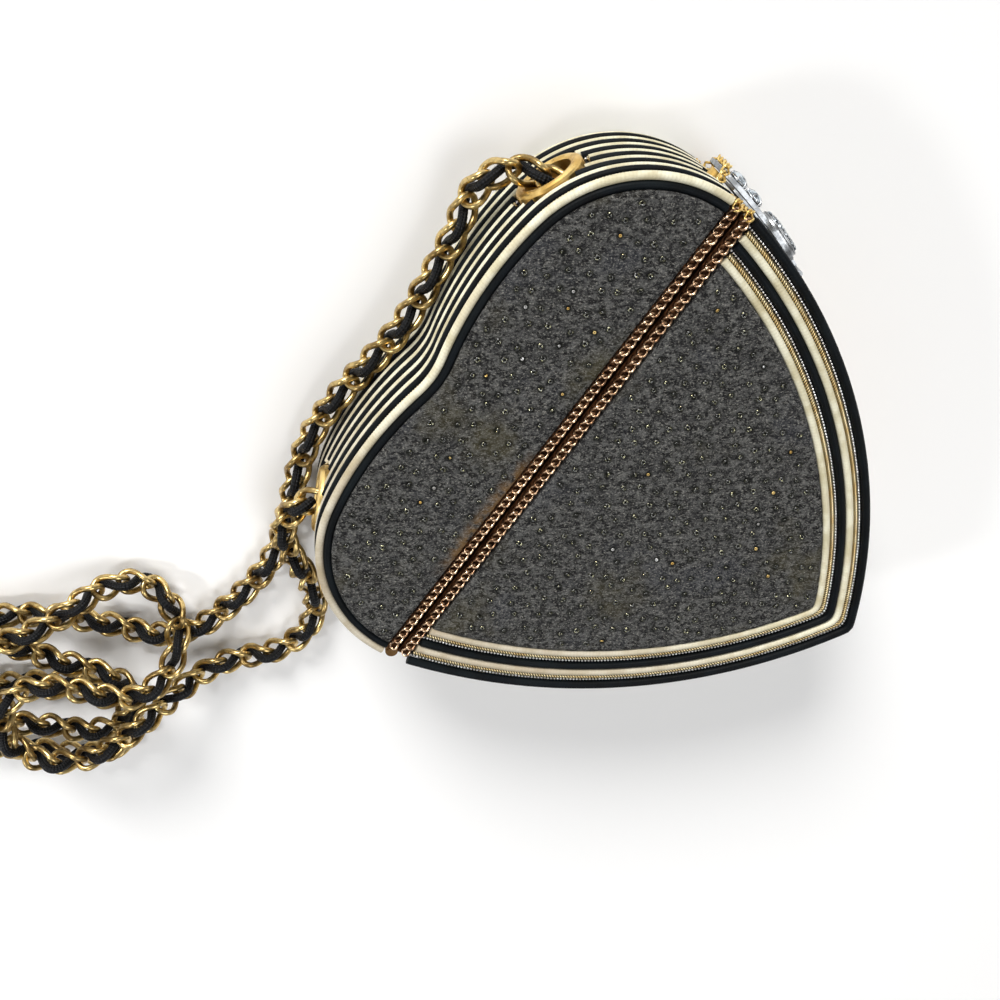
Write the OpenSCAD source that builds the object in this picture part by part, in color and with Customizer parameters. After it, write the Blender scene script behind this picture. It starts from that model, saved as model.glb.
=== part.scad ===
/* [Heart] */
// Half of the purse's width, from the middle to the side of a lobe
half_width = 82.5; // [70:0.5:95]
// Radius of each round lobe
lobe_r = 41; // [36:0.5:44]
// Radius of the long side that runs from a lobe to the tip
side_r = 166; // [150:1:190]
// Distance from the lobes' centre line down to the tip's centre
tip_drop = 117; // [105:1:125]
// Radius of the tip
tip_r = 4; // [3:0.5:6]
// Radius of the flatter shoulder beside the cleft
shoulder_r = 110; // [90:1:130]
// Where on the lobe the shoulder starts, in degrees
shoulder_start = 80; // [76:1:82]
// Radius of the cleft between the lobes
cleft_r = 24; // [18:1:30]
// Depth of the purse from its rear felt to its front felt
depth = 46; // [40:1:56]
// Distance of the seam below the lobes' centre line
seam_drop = 4; // [2:0.5:6]
// Open line between the two halves
seam_gap = 1; // [0.8:0.1:1.4]

/* [Shell and rims] */
// Thickness of the hard wall
wall = 1.8; // [1.2:0.1:2.4]
// How far the felt of each face stands above the cream cords
felt_proud = 0.1; // [0.1:0.05:0.6]
// Length of each rim along the wall
rim_len = 3.4; // [3.2:0.1:5]
// Thickness of the lining
lining = 0.5; // [0.3:0.1:0.8]
// Clearance between the lining and the wall
lining_gap = 0.05; // [0.02:0.01:0.1]
// How far the pocket's lip reaches into the lid beyond the seam
lip_len = 4; // [3:0.5:6]
// Thickness of that lip
lip = 0.9; // [0.7:0.1:1.2]
// Clearance round the lip
lip_gap = 0.4; // [0.3:0.05:0.6]

/* [Cords] */
// Radius of a cream satin cord
cream_r = 1.15; // [1:0.05:1.2]
// Radius of a black satin cord
black_r = 1.1; // [1:0.05:1.15]
// Radius of a silver bead string
silver_r = 0.5; // [0.4:0.05:0.55]
// Radius of a twisted gold cord
gold_r = 0.7; // [0.6:0.05:0.75]
// Radius of the black cord at the pocket's corners
corner_r = 1.3; // [1.1:0.05:1.35]
// Radius of the black piping round the lid's faces
piping_r = 1.1; // [0.9:0.05:1.15]
// Clearance between neighbouring cords
cord_gap = 0.05; // [0.03:0.01:0.1]

/* [Seam chains] */
// Wire of the small chain
seam_wire = 0.7; // [0.6:0.05:0.75]
// Outer length of a link
seam_link_len = 4.2; // [4.1:0.05:4.6]
// Outer width of a link
seam_link_wid = 2.9; // [2.7:0.05:3]
// Distance from link to link
seam_pitch = 2.6; // [2.4:0.05:2.7]
// Roll of each link about the chain's line, in degrees
seam_roll = 35; // [33:1:45]

/* [Hinge] */
// Radius of the hinge barrel
barrel_r = 1.9; // [1.7:0.1:2.4]
// Radius of the hinge pin
hinge_pin_r = 0.8; // [0.6:0.05:1]
// Running fit of the pin, on the radius
pin_fit = 0.05; // [0.03:0.01:0.09]
// Number of knuckles
knuckles = 5; // [3:2:7]
// Gap between knuckles
knuckle_gap = 0.3; // [0.3:0.05:0.5]
// Length of the barrel along the purse's depth
barrel_len = 36; // [30:1:38]
// Length of each leaf along the wall
leaf_len = 7; // [6:0.5:9]
// Thickness of each leaf
leaf = 0.9; // [0.7:0.1:1.2]

/* [Eyelets] */
// Bore of an eyelet
eyelet_bore = 14; // [13:0.5:15]
// Outer diameter of an eyelet's flange
eyelet_od = 20; // [19:0.5:22]
// Height of the flange above the hard wall
eyelet_h = 2.6; // [2:0.1:3.2]
// Place of each eyelet on its lobe, in degrees above the side
eyelet_at = 67; // [62:1:70]

/* [Clasp] */
// Width of the clasp's base and of the flap round its oval, along the purse's depth
clasp_wid = 13; // [12:0.5:16]
// Width of the flap's neck and tip
clasp_neck = 9; // [8:0.5:10]
// Thickness of the base
clasp_base_t = 0.7; // [0.6:0.1:1]
// Thickness of the flap
clasp_flap_t = 1.3; // [1:0.1:1.6]
// Clearance between the flap and the base
clasp_gap = 0.35; // [0.3:0.05:0.5]
// Length of the flap from its pin to the seam
clasp_len = 31; // [28:1:34]
// How far the flap reaches past the seam
clasp_over = 7; // [6:0.5:9]
// Radius of the clasp's knuckles
clasp_knuckle_r = 1.1; // [1:0.05:1.15]
// Radius of the clasp's pin
clasp_pin_r = 0.5; // [0.4:0.05:0.6]
// Diameter of each round stone
stone_d = 5.6; // [4.5:0.1:6.5]
// Length of the large oval setting
pave_len = 15; // [12:0.5:17]
// Width of the large oval setting
pave_wid = 11; // [9:0.5:12.5]
// Diameter of the magnet in the flap's tip
magnet_d = 5; // [4:0.5:6]

/* [Strap] */
// Wire of the strap's links
strap_wire = 1.9; // [1.8:0.05:1.95]
// Outer length of a strap link
strap_link_len = 12.7; // [12.6:0.1:13]
// Outer width of a strap link
strap_link_wid = 8.5; // [8.3:0.1:9]
// Distance from link to link along the strap
strap_pitch = 8.1; // [8:0.05:8.3]
// Roll of each link about the strap's line, in degrees
strap_roll = 35; // [33:1:45]
// Diameter of the cord woven through the links
weave_d = 2.4; // [2:0.1:2.6]
// How far the cord rises and falls as it weaves
weave_h = 3.6; // [3.3:0.1:4]
// Diameter of the bar that holds each end of the strap
bar_d = 2.4; // [2:0.1:2.6]

/* [Hidden] */
over = 1;
fine = 96;
round_fn = 24;
wire_fn = 16;
seam_y = -seam_drop;
// The centres and junction angles of the outline's arcs
lobe_x = half_width - lobe_r;
lobe_c = [lobe_x, 0];
tip_c = [0, -tip_drop];
lobe_d = side_r - lobe_r;
tip_d = side_r - tip_r;
span = norm(lobe_c - tip_c);
along = (lobe_c - tip_c) / span;
foot = (tip_d * tip_d - lobe_d * lobe_d + span * span) / (2 * span);
rise = sqrt(tip_d * tip_d - foot * foot);
side_c = tip_c + along * foot + [-along[1], along[0]] * rise;
shoulder_c = lobe_c - (shoulder_r - lobe_r) * [cos(shoulder_start), sin(shoulder_start)];
cleft_y = shoulder_c[1] + sqrt(pow(shoulder_r + cleft_r, 2) - pow(shoulder_c[0], 2));
cleft_c = [0, cleft_y];
side_start = atan2(lobe_c[1] - side_c[1], lobe_c[0] - side_c[0]);
side_end = atan2(tip_c[1] - side_c[1], tip_c[0] - side_c[0]);
cleft_turn = 90 + atan2(shoulder_c[1] - cleft_y, shoulder_c[0]);
top_y = shoulder_c[1] + shoulder_r;
// Depth of the cord covering outside the hard wall, and thickness of the felt
fat_r = max(cream_r, black_r);
cover = 2 * fat_r + 2 * cord_gap;
corner_off = (corner_r + cord_gap) / sqrt(2);
felt = max(2 * fat_r + felt_proud, corner_r + corner_off + cord_gap);
// Heights of the hard wall's outside, at the rear and at the front
rear_z = felt;
front_z = depth - felt;
mid_z = depth / 2;
inner = cover + wall;
lined = inner + lining_gap + lining;
lip_out = lined + lip_gap;
lip_in = lip_out + lip;
lid_edge = seam_y + seam_gap / 2;
pocket_edge = seam_y - seam_gap / 2;
// Where the cords and felts of each half stop, next to its seam chain and next to its hinge leaf
trim_gap = 0.3;
lid_trim = lid_edge + rim_len + trim_gap;
pocket_trim = pocket_edge - rim_len - trim_gap;
lid_leaf_trim = lid_edge + leaf_len + trim_gap;
pocket_leaf_trim = pocket_edge - leaf_len - trim_gap;

// Points on an arc
function arc(c, r, a, b, n) = [for (i = [0:n]) c + r * [cos(a + (b - a) * i / n), sin(a + (b - a) * i / n)]];
// Where a side arc ends at this inset: at the tip's arc, or at the middle once the tip has closed
function side_stop(t) = t < tip_r - cord_gap ? side_end : -acos(-side_c[0] / (side_r - t));
// Right half of the heart's outline, drawn in by t, from the cleft down to the tip
function half_outline(t) = concat(
    arc(cleft_c, cleft_r + t, -90, cleft_turn - 90, 4),
    arc(shoulder_c, shoulder_r - t, 90 + cleft_turn, shoulder_start, 4),
    arc(lobe_c, lobe_r - t, shoulder_start, side_start, 12),
    arc(side_c, side_r - t, side_start, side_stop(t), 8),
    t < tip_r - cord_gap ? arc(tip_c, tip_r - t, side_end, -90, 4) : []
);
function mirrored(p) = [for (i = [len(p) - 1:-1:0]) [-p[i][0], p[i][1]]];
module heart(t) { polygon(concat(half_outline(t), mirrored(half_outline(t)))); }
module slab(t, z0, z1) { translate([0, 0, z0]) linear_extrude(z1 - z0) heart(t); }
// The purse's block drawn in by t on every side, counted from the outside of its cords
module core(t) { slab(t, rear_z + t - cover, front_z - t + cover); }
// What of its children lies between two lines across the purse
module band(y0, y1) {
    intersection() {
        children();
        translate([-2 * half_width, y0, -depth]) cube([4 * half_width, y1 - y0, 3 * depth]);
    }
}
far_up = 2 * half_width;
far_down = -2 * half_width;
module both_sides() {
    children();
    mirror([1, 0, 0]) children();
}
module both_faces() {
    children();
    translate([0, 0, depth]) mirror([0, 0, 1]) children();
}

// One cord along an arc of the outline, as part of a torus; its lengths butt with a hair's gap
butt = 0.02;
module arc_cord(c, rad, a, b, r, z) {
    short = butt / rad * 90 / PI;
    translate([c[0], c[1], z]) rotate([0, 0, min(a, b) + short])
        rotate_extrude(angle = abs(b - a) - 2 * short, $fn = fine) translate([rad, 0]) circle(r, $fn = round_fn);
}
// Half of the room along the wall that a round fitting of radius big needs at height z
function room(z, big) = abs(z - mid_z) < big ? sqrt(big * big - pow(z - mid_z, 2)) : 0;
// A cord along half of the lid's outline at inset t, from y0, giving way to the eyelet's flange
module lid_half_line(t, r, z, y0) {
    rad = lobe_r - t;
    side_room = room(z, eyelet_od / 2 + trim_gap + r);
    turn = asin(side_room / rad);
    past = side_room > 0 ? side_room - rad * sin(shoulder_start - eyelet_at) : 0;
    arc_cord(lobe_c, rad, asin(y0 / rad), side_room > 0 ? eyelet_at - turn : shoulder_start, r, z);
    if (past < 0) arc_cord(lobe_c, rad, eyelet_at + turn, shoulder_start, r, z);
    from = shoulder_start + max(past, 0) / (shoulder_r - t) * 180 / PI;
    arc_cord(shoulder_c, shoulder_r - t, from, 90 + cleft_turn, r, z);
}
// The same along both halves; at the clasp's end it gives way to the keeper
module lid_line(t, r, z, clasp_y, hinge_y) {
    keeper_room = room(z, magnet_d / 2 + trim_gap + r);
    lid_half_line(t, r, z, keeper_room > 0 ? max(clasp_y, keeper_y + keeper_room) : clasp_y);
    mirror([1, 0, 0]) lid_half_line(t, r, z, hinge_y);
    arc_cord(cleft_c, cleft_r + t, -90 - cleft_turn, cleft_turn - 90, r, z);
}
// A cord along the pocket's outline; its halves meet in a mitre where the tip is too tight to bend round
function tip_bends(t, r) = tip_r - t > r + cord_gap;
module pocket_half_line(t, r, z, y0) {
    start = asin((y0 - side_c[1]) / (side_r - t));
    if (tip_bends(t, r)) {
        arc_cord(side_c, side_r - t, side_end, start, r, z);
    } else {
        stop = side_stop(max(t, tip_r));
        run_on = asin(2 * r / (side_r - t));
        intersection() {
            arc_cord(side_c, side_r - t, stop - run_on, start, r, z);
            translate([0, -4 * half_width, z - 2 * r]) cube([2 * half_width, 4 * half_width, 4 * r]);
        }
    }
}
module pocket_line(t, r, z, clasp_y, hinge_y) {
    pocket_half_line(t, r, z, clasp_y);
    mirror([1, 0, 0]) pocket_half_line(t, r, z, hinge_y);
    if (tip_bends(t, r)) arc_cord(tip_c, tip_r - t, -180 - side_end, side_end, r, z);
}

// Cords round the wall: a cream cord at each step, and gold, silver and black between two creams
cream_off = (cream_r + cord_gap) / sqrt(2);
corner_z = front_z + cream_off;
stack = 2 * corner_z - depth;
group_least = 2 * (cream_r + gold_r + silver_r + black_r) + 4 * cord_gap;
groups = floor(stack / group_least);
group_pitch = stack / groups;
slack = (group_pitch - group_least) / 4 + cord_gap;
gold_down = cream_r + slack + gold_r;
silver_down = gold_down + gold_r + slack + silver_r;
black_down = silver_down + silver_r + slack + black_r;
function cream_z(i) = corner_z - i * group_pitch;
function wall_t(r) = cover - cord_gap - r;

// Cords over the face: their radii inward from the corner cord of the pocket
face_r = [silver_r, gold_r, cream_r, black_r, silver_r, gold_r, cream_r];
corner_t = cover - corner_off;
function face_t(i) = i == 0 ? corner_t + corner_r + cord_gap + face_r[0]
    : face_t(i - 1) + face_r[i - 1] + cord_gap + face_r[i];
last = len(face_r) - 1;
pocket_felt_t = face_t(last) + face_r[last] + cord_gap;
cream_t = cover - cream_off;
piping_t = cream_t + cream_r + cord_gap + piping_r;
lid_felt_t = piping_t + piping_r + cord_gap;

// The two eyelets' axes run out from the lobes' centres, half way up the wall
shell_lobe_r = lobe_r - cover;
lined_lobe_r = lobe_r - lined;
tube_wall = 0.9;
bore_gap = 0.1;
eyelet_tube_r = eyelet_bore / 2 + tube_wall;
washer_r = eyelet_tube_r + 1.5 * tube_wall;
flange_shares = [0.76, 0.93];
washer_seat = sqrt(lined_lobe_r * lined_lobe_r - washer_r * washer_r) - bore_gap;
module on_eyelet_axis() {
    translate([lobe_x, 0, mid_z]) rotate([0, 0, eyelet_at]) rotate([0, 90, 0]) children();
}
module eyelet_hole(r) { on_eyelet_axis() cylinder(r = r, h = 2 * lobe_r, $fn = fine); }
module eyelet() {
    color("goldenrod") on_eyelet_axis() rotate_extrude($fn = fine) polygon([
        [eyelet_bore / 2, washer_seat - tube_wall], [washer_r, washer_seat - tube_wall],
        [washer_r, washer_seat], [eyelet_tube_r, washer_seat],
        [eyelet_tube_r, shell_lobe_r + eyelet_h - tube_wall], [eyelet_bore / 2, shell_lobe_r + eyelet_h - tube_wall]
    ]);
    color("goldenrod") difference() {
        on_eyelet_axis() rotate_extrude($fn = fine) polygon([
            [eyelet_tube_r - bore_gap, shell_lobe_r - eyelet_h], [eyelet_od / 2, shell_lobe_r - eyelet_h],
            [eyelet_od / 2, shell_lobe_r + eyelet_h / 2],
            [eyelet_od / 2 - tube_wall / 3, shell_lobe_r + eyelet_h * flange_shares[0]],
            [eyelet_od / 2 - tube_wall, shell_lobe_r + eyelet_h * flange_shares[1]],
            [eyelet_tube_r + tube_wall / 2, shell_lobe_r + eyelet_h],
            [eyelet_tube_r - tube_wall / 4, shell_lobe_r + eyelet_h * flange_shares[1]],
            [eyelet_bore / 2, shell_lobe_r + eyelet_h * flange_shares[0]],
            [eyelet_bore / 2, shell_lobe_r + eyelet_h - 2 * tube_wall],
            [eyelet_tube_r - bore_gap, shell_lobe_r + eyelet_h - 2 * tube_wall]
        ]);
        translate([lobe_x, 0, -depth]) cylinder(r = shell_lobe_r + lining_gap, h = 3 * depth, $fn = fine);
    }
}

// The hinge stands outside the wall, on the seam's line at the left
pin_x = -half_width + trim_gap;
barrel_z = mid_z - barrel_len / 2;
knuckle_pitch = (barrel_len + knuckle_gap) / knuckles;
knuckle_len = knuckle_pitch - knuckle_gap;
pin_head = 0.4;
module on_pin(z) { translate([pin_x, seam_y, z]) children(); }
module knuckle(i) { on_pin(barrel_z + i * knuckle_pitch) cylinder(r = barrel_r, h = knuckle_len, $fn = fine); }
module knuckle_room(i) {
    on_pin(barrel_z + i * knuckle_pitch - knuckle_gap)
        cylinder(r = barrel_r + knuckle_gap, h = knuckle_len + 2 * knuckle_gap, $fn = fine);
}
// A leaf follows the wall's arc of radius rad about c, from y0 to y1 on the left side
module leaf_plate(c, rad, y0, y1) {
    a = asin((y0 - c[1]) / rad);
    b = asin((y1 - c[1]) / rad);
    mirror([1, 0, 0]) translate([c[0], c[1], barrel_z]) rotate([0, 0, a])
        rotate_extrude(angle = b - a, $fn = fine) translate([rad, 0]) square([leaf, barrel_len]);
}
module hinge_leaf(c, rad, y0, y1, mine) {
    color("darkgoldenrod") difference() {
        union() {
            leaf_plate(c, rad, y0, y1);
            for (i = [mine:2:knuckles - 1]) knuckle(i);
        }
        for (i = [1 - mine:2:knuckles - 1]) knuckle_room(i);
        on_pin(barrel_z - over) cylinder(r = hinge_pin_r + pin_fit, h = barrel_len + 2 * over, $fn = fine);
    }
}

// The clasp lies along the right side's arc; its parts are placed by their angle on that arc
function side_angle(y) = asin((y - side_c[1]) / side_r);
clasp_pin_y = seam_y - clasp_len;
clasp_tip_y = seam_y + clasp_over;
base_lift = 0.1;
base_in = side_r + base_lift;
base_out = base_in + clasp_base_t;
flap_in = base_out + clasp_gap;
flap_out = flap_in + clasp_flap_t;
clasp_pin_rad = base_in + clasp_knuckle_r + cord_gap;
end_knuckle = clasp_wid / 4;
knuckle_side_gap = 0.3;
keeper_y = lid_edge + magnet_d / 2 + knuckle_side_gap;
module on_side(y, rad) {
    translate([side_c[0], side_c[1], mid_z]) rotate([0, 0, side_angle(y)]) translate([rad, 0, 0])
        rotate([0, 90, 0]) children();
}
module side_sector(r0, r1, y0, y1) {
    translate([side_c[0], side_c[1], mid_z - clasp_wid / 2]) rotate([0, 0, side_angle(y0)])
        rotate_extrude(angle = side_angle(y1) - side_angle(y0), $fn = fine)
            translate([r0, 0]) square([r1 - r0, clasp_wid]);
}
module on_clasp_pin(z) {
    translate([side_c[0], side_c[1], z]) rotate([0, 0, side_angle(clasp_pin_y)])
        translate([clasp_pin_rad, 0, 0]) children();
}
module capsule(wid, y0, y1) {
    for (y = [y0 + wid / 2, y1 - wid / 2]) translate([0, y]) circle(d = wid, $fn = fine);
    translate([-wid / 2, y0 + wid / 2]) square([wid, y1 - y0 - wid]);
}
oval_y1 = clasp_pin_y + clasp_knuckle_r + pave_len + 2 * clasp_flap_t;
oval_y = (clasp_pin_y + clasp_knuckle_r + oval_y1) / 2;
stone_y = lid_edge - stone_d / 2 + magnet_d / 2;
stone_ys = [stone_y, stone_y - stone_d - knuckle_side_gap];
stone_h_share = 0.385;
stone_h = stone_h_share * stone_d;
stone_lift = 0.05;
// A stone's girdle, its foot and table, as shares of its width and height
gem_shares = [0.86, 0.2, 0.45, 0.6];
dome_r = 0.85;
dome_pitch = 1.85;
dome_rows = floor(pave_len / 2 / dome_pitch);
// Distance of a bead of the oval from the oval's middle line
function dome_in(i, j) = norm([max(abs(i * dome_pitch) - (pave_len - pave_wid) / 2, 0), j * dome_pitch]);
pave_t = 1;
magnet_t = 0.7;

// A link of the seam chain lies across the corner; from it the chain runs over the front and down the wall
chain_rise = (seam_link_wid - seam_wire) / 2 * sin(seam_roll) + seam_wire / 2 + cord_gap;
chain_x0 = pin_x + seam_pitch / 2;
chain_stop_z = mid_z + clasp_wid / 2 + seam_link_wid / 2;
corner_up = (chain_rise + seam_pitch / 2) / sqrt(2);
corner_in = (seam_pitch / 2 - chain_rise) / sqrt(2);
corner_run = corner_in + sqrt(seam_pitch * seam_pitch - pow(corner_up - chain_rise, 2));
// How far joint k from the corner lies from the edge along the surface, and how far it stands off it
function joint_in(k) = k == 0 ? corner_in : corner_run + (k - 1) * seam_pitch;
function joint_up(k) = k == 0 ? corner_up : chain_rise;
function front_joint(k, wall_x) = [wall_x - joint_in(k), front_z + joint_up(k)];
function side_joint(k, wall_x) = [wall_x + joint_up(k), front_z - joint_in(k)];
module bow(rad, wire) { rotate_extrude(angle = 180, $fn = round_fn) translate([rad, 0]) circle(d = wire, $fn = wire_fn); }
module link(len, wid, wire) {
    rad = (wid - wire) / 2;
    run = len - wid;
    translate([run / 2, 0, 0]) rotate([0, 0, -90]) bow(rad, wire);
    translate([-run / 2, 0, 0]) rotate([0, 0, 90]) bow(rad, wire);
    for (s = [-1, 1]) translate([-run / 2, s * rad, 0]) rotate([0, 90, 0]) cylinder(d = wire, h = run, $fn = wire_fn);
}
module seam_link(p, q, y, k) {
    m = (p + q) / 2;
    translate([m[0], y, m[1]]) rotate([0, atan2(p[1] - q[1], q[0] - p[0]), 0])
        rotate([k % 2 == 0 ? seam_roll : -seam_roll, 0, 0]) link(seam_link_len, seam_link_wid, seam_wire);
}
module seam_chain(y, wall_x) {
    color("sienna") {
        seam_link(front_joint(0, wall_x), side_joint(0, wall_x), y, 0);
        for (k = [1:1 + floor((wall_x - corner_run - chain_x0) / seam_pitch)])
            seam_link(front_joint(k, wall_x), front_joint(k - 1, wall_x), y, k);
        for (k = [1:1 + floor((front_z - corner_run - chain_stop_z) / seam_pitch)])
            seam_link(side_joint(k - 1, wall_x), side_joint(k, wall_x), y, k);
    }
}
lid_chain_y = lid_edge + rim_len / 2;
pocket_chain_y = pocket_edge - rim_len / 2;
function wall_x_at(y) = y > side_c[1] + side_r * sin(side_start)
    ? lobe_x + sqrt(shell_lobe_r * shell_lobe_r - y * y)
    : side_c[0] + sqrt(pow(side_r - cover, 2) - pow(y - side_c[1], 2));
lid_wall_x = wall_x_at(min(lid_edge + rim_len, 0));
pocket_wall_x = wall_x_at(pocket_edge);

// The strap's route from the right eyelet's bar to the left one's: over the wall, into the pile and back
route = [
    [56.6, 22, 23], [56.6, 30, 23], [56.4, 38, 23], [54, 45.2, 21.8], [48.2, 49.6, 20], [41, 50.5, 18.3],
    [33, 48, 17], [24, 46.5, 16.5], [12, 45.2, 16], [0, 44.2, 15], [-12, 45, 14], [-25, 46.5, 12],
    [-37, 47, 10], [-49, 46, 8], [-60, 43, 7], [-71, 39, 6], [-82, 35, 5], [-93, 33, 5], [-104, 33.5, 5],
    [-116, 36, 5], [-128, 40, 5], [-137, 50, 5], [-140, 62, 5], [-144, 74, 5], [-150, 87, 5], [-158, 98, 5],
    [-168, 108, 5], [-179, 114, 5], [-192, 113, 5], [-203, 105, 5], [-209, 93, 5], [-208, 80, 5],
    [-202, 68, 5], [-197, 56, 5], [-192, 45, 5], [-183, 38, 5], [-173, 39, 5], [-166, 47, 5], [-166, 58, 5],
    [-170, 69, 5], [-177, 79, 5], [-184, 89, 5], [-185.5, 97, 6.5], [-182, 104.5, 8.5], [-174.5, 108, 10.5],
    [-166.5, 106.5, 12.5], [-161, 101, 13], [-157.5, 93.5, 13.8], [-156, 85, 14.8], [-155, 75, 14.8],
    [-153, 65, 14.8], [-152, 53, 14.8], [-159, 44, 14.8], [-170, 46, 14.8], [-177, 56, 14.8], [-181, 68, 14.8],
    [-187, 79, 14.8], [-193, 90, 14.8], [-193, 102, 14.8], [-184, 109, 16.5], [-172, 107, 19.5],
    [-161, 99, 20.5], [-151, 90, 20.5], [-142, 82, 17], [-133, 77, 12], [-126, 72, 7.5], [-121.5, 65, 5],
    [-121, 57, 5.5], [-124, 49.5, 8.5], [-130.5, 44.5, 12.8], [-138, 42.5, 17.5], [-145.5, 45, 22],
    [-151, 51, 24.4], [-153.5, 61, 24.6], [-156, 70, 24.6], [-161, 78, 24.6], [-168, 81.5, 24.6],
    [-176, 80.5, 24.6], [-183, 75.5, 24.6], [-186, 68, 24.6], [-185, 60, 24.6], [-181, 53, 24.6],
    [-175, 48, 24.6], [-167, 44.5, 24.6], [-159, 42, 24], [-151.5, 38, 18.5], [-145, 33, 10.5],
    [-138, 29, 7], [-131, 22, 5], [-123.5, 14, 5], [-115, 10, 5], [-106.5, 9.5, 5], [-98.5, 13, 6],
    [-92, 19, 9], [-87, 25.5, 12], [-82.5, 32, 15], [-76.5, 38, 18.5], [-69, 41.5, 21.5], [-61.5, 40.5, 23],
    [-55, 35.5, 23], [-51, 28.5, 23]
];
strap_cuts = 6;
function blend(a, b, c, d, u) =
    (2 * b + (c - a) * u + (2 * a - 5 * b + 4 * c - d) * u * u + (3 * b - a - 3 * c + d) * u * u * u) / 2;
last_stop = len(route) - 1;
curve = [for (i = [0:last_stop - 1]) for (k = [0:strap_cuts - (i == last_stop - 1 ? 0 : 1)])
    blend(route[max(i - 1, 0)], route[i], route[i + 1], route[min(i + 2, last_stop)], k / strap_cuts)];
function sums(p, i = 1, s = [0]) = i >= len(p) ? s : sums(p, i + 1, concat(s, [s[i - 1] + norm(p[i] - p[i - 1])]));
runs = sums(curve);
strap_len = runs[len(runs) - 1];
link_count = round(strap_len / strap_pitch);
strap_step = strap_len / link_count;
along_x = [for (i = [0:len(curve) - 1]) [runs[i], curve[i][0]]];
along_y = [for (i = [0:len(curve) - 1]) [runs[i], curve[i][1]]];
along_z = [for (i = [0:len(curve) - 1]) [runs[i], curve[i][2]]];
function strap_at(s) = [lookup(s, along_x), lookup(s, along_y), lookup(s, along_z)];
module strap_link(i) {
    p = strap_at(i * strap_step);
    q = strap_at((i + 1) * strap_step);
    d = q - p;
    translate((p + q) / 2) rotate([0, -atan2(d[2], norm([d[0], d[1]])), atan2(d[1], d[0])])
        rotate([i % 2 == 0 ? strap_roll : -strap_roll, 0, 0]) link(strap_link_len, strap_link_wid, strap_wire);
}
// The cord crosses each link at its middle and passes over one joint and under the next
weave_steps = 4;
weave_sides = 6;
weave_first = 1.5;
weave_count = weave_steps * (link_count - 2 * weave_first);
function unit(v) = v / norm(v);
function strap_line(s) = unit(strap_at(s + strap_step / 2) - strap_at(s - strap_step / 2));
function strap_flat(s) = unit(cross([0, 0, 1], strap_line(s)));
swing_power = 0.7;
function swing(w) = sign(w) * pow(abs(w), swing_power);
function weave_at(s) = strap_at(s) + weave_h * swing(cos(180 * s / strap_step)) * unit(cross(strap_line(s), strap_flat(s)));
weave_points = [for (i = [0:weave_count]) weave_at(strap_step * (weave_first + i / weave_steps))];
function weave_line(i) = unit(weave_points[min(i + 1, weave_count)] - weave_points[max(i - 1, 0)]);
function weave_ring(i) =
    let(u = unit(cross(cross(weave_line(i), strap_flat(strap_step * (weave_first + i / weave_steps))), weave_line(i))),
        v = cross(weave_line(i), u))
    [for (k = [0:weave_sides - 1]) let(a = 360 * k / weave_sides) weave_points[i] + weave_d / 2 * (cos(a) * u + sin(a) * v)];

module lid_shell() home() {
    color("dimgray") difference() {
        band(lid_edge + rim_len, far_up) difference() {
            core(cover);
            core(inner);
        }
        both_sides() eyelet_hole(eyelet_tube_r + bore_gap);
    }
}
module lid_rim() home() {
    color("goldenrod") band(lid_edge, lid_edge + rim_len) difference() {
        core(cover);
        core(inner);
    }
}
module lid_lining() home() {
    color("black") difference() {
        band(lid_edge, far_up) difference() {
            core(inner + lining_gap);
            core(lined);
        }
        both_sides() eyelet_hole(eyelet_tube_r + bore_gap);
        for (p = [bar_right, bar_left]) translate([p[0], p[1], 0])
            cylinder(d = bar_d + 4 * bore_gap, h = depth, $fn = fine);
    }
}
module lid_front_felt() home() { color("darkslategray") band(lid_trim, far_up) slab(lid_felt_t, front_z, depth); }
module lid_rear_felt() home() { color("darkslategray") band(lid_trim, far_up) slab(lid_felt_t, 0, rear_z); }
module lid_piping() home() {
    color("black") both_faces() lid_line(piping_t, piping_r, front_z + piping_r + cord_gap, lid_trim, lid_trim);
}
module lid_cream_cords() home() {
    color("ivory") both_faces() lid_line(cream_t, cream_r, corner_z, lid_trim, lid_trim);
    color("ivory") for (i = [1:groups - 1]) lid_line(wall_t(cream_r), cream_r, cream_z(i), lid_trim, lid_leaf_trim);
}
module lid_wall_cords(r, down) {
    for (i = [0:groups - 1]) lid_line(wall_t(r), r, cream_z(i) - down, lid_trim, lid_leaf_trim);
}
module lid_black_cords() home() { color("black") lid_wall_cords(black_r, black_down); }
module lid_silver_cords() home() { color("silver") lid_wall_cords(silver_r, silver_down); }
module lid_gold_cords() home() { color("gold") lid_wall_cords(gold_r, gold_down); }
module lid_front_chain() home() { seam_chain(lid_chain_y, lid_wall_x); }
module lid_rear_chain() home() {
    translate([0, 0, depth]) mirror([0, 0, 1]) seam_chain(lid_chain_y, lid_wall_x);
}
module lid_hinge_leaf() home() { hinge_leaf(lobe_c, shell_lobe_r + lining_gap, lid_edge, lid_edge + leaf_len, 0); }
module hinge_pin() home() {
    color("darkgoldenrod") on_pin(barrel_z - pin_head) cylinder(r = hinge_pin_r, h = barrel_len + 2 * pin_head, $fn = fine);
    color("darkgoldenrod") for (z = [barrel_z - pin_head, barrel_z + barrel_len + pin_fit])
        on_pin(z) cylinder(r = (barrel_r + hinge_pin_r) / 2, h = pin_head - pin_fit, $fn = fine);
}
module eyelet_right() home() { eyelet(); }
module eyelet_left() home() { mirror([1, 0, 0]) eyelet(); }
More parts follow.
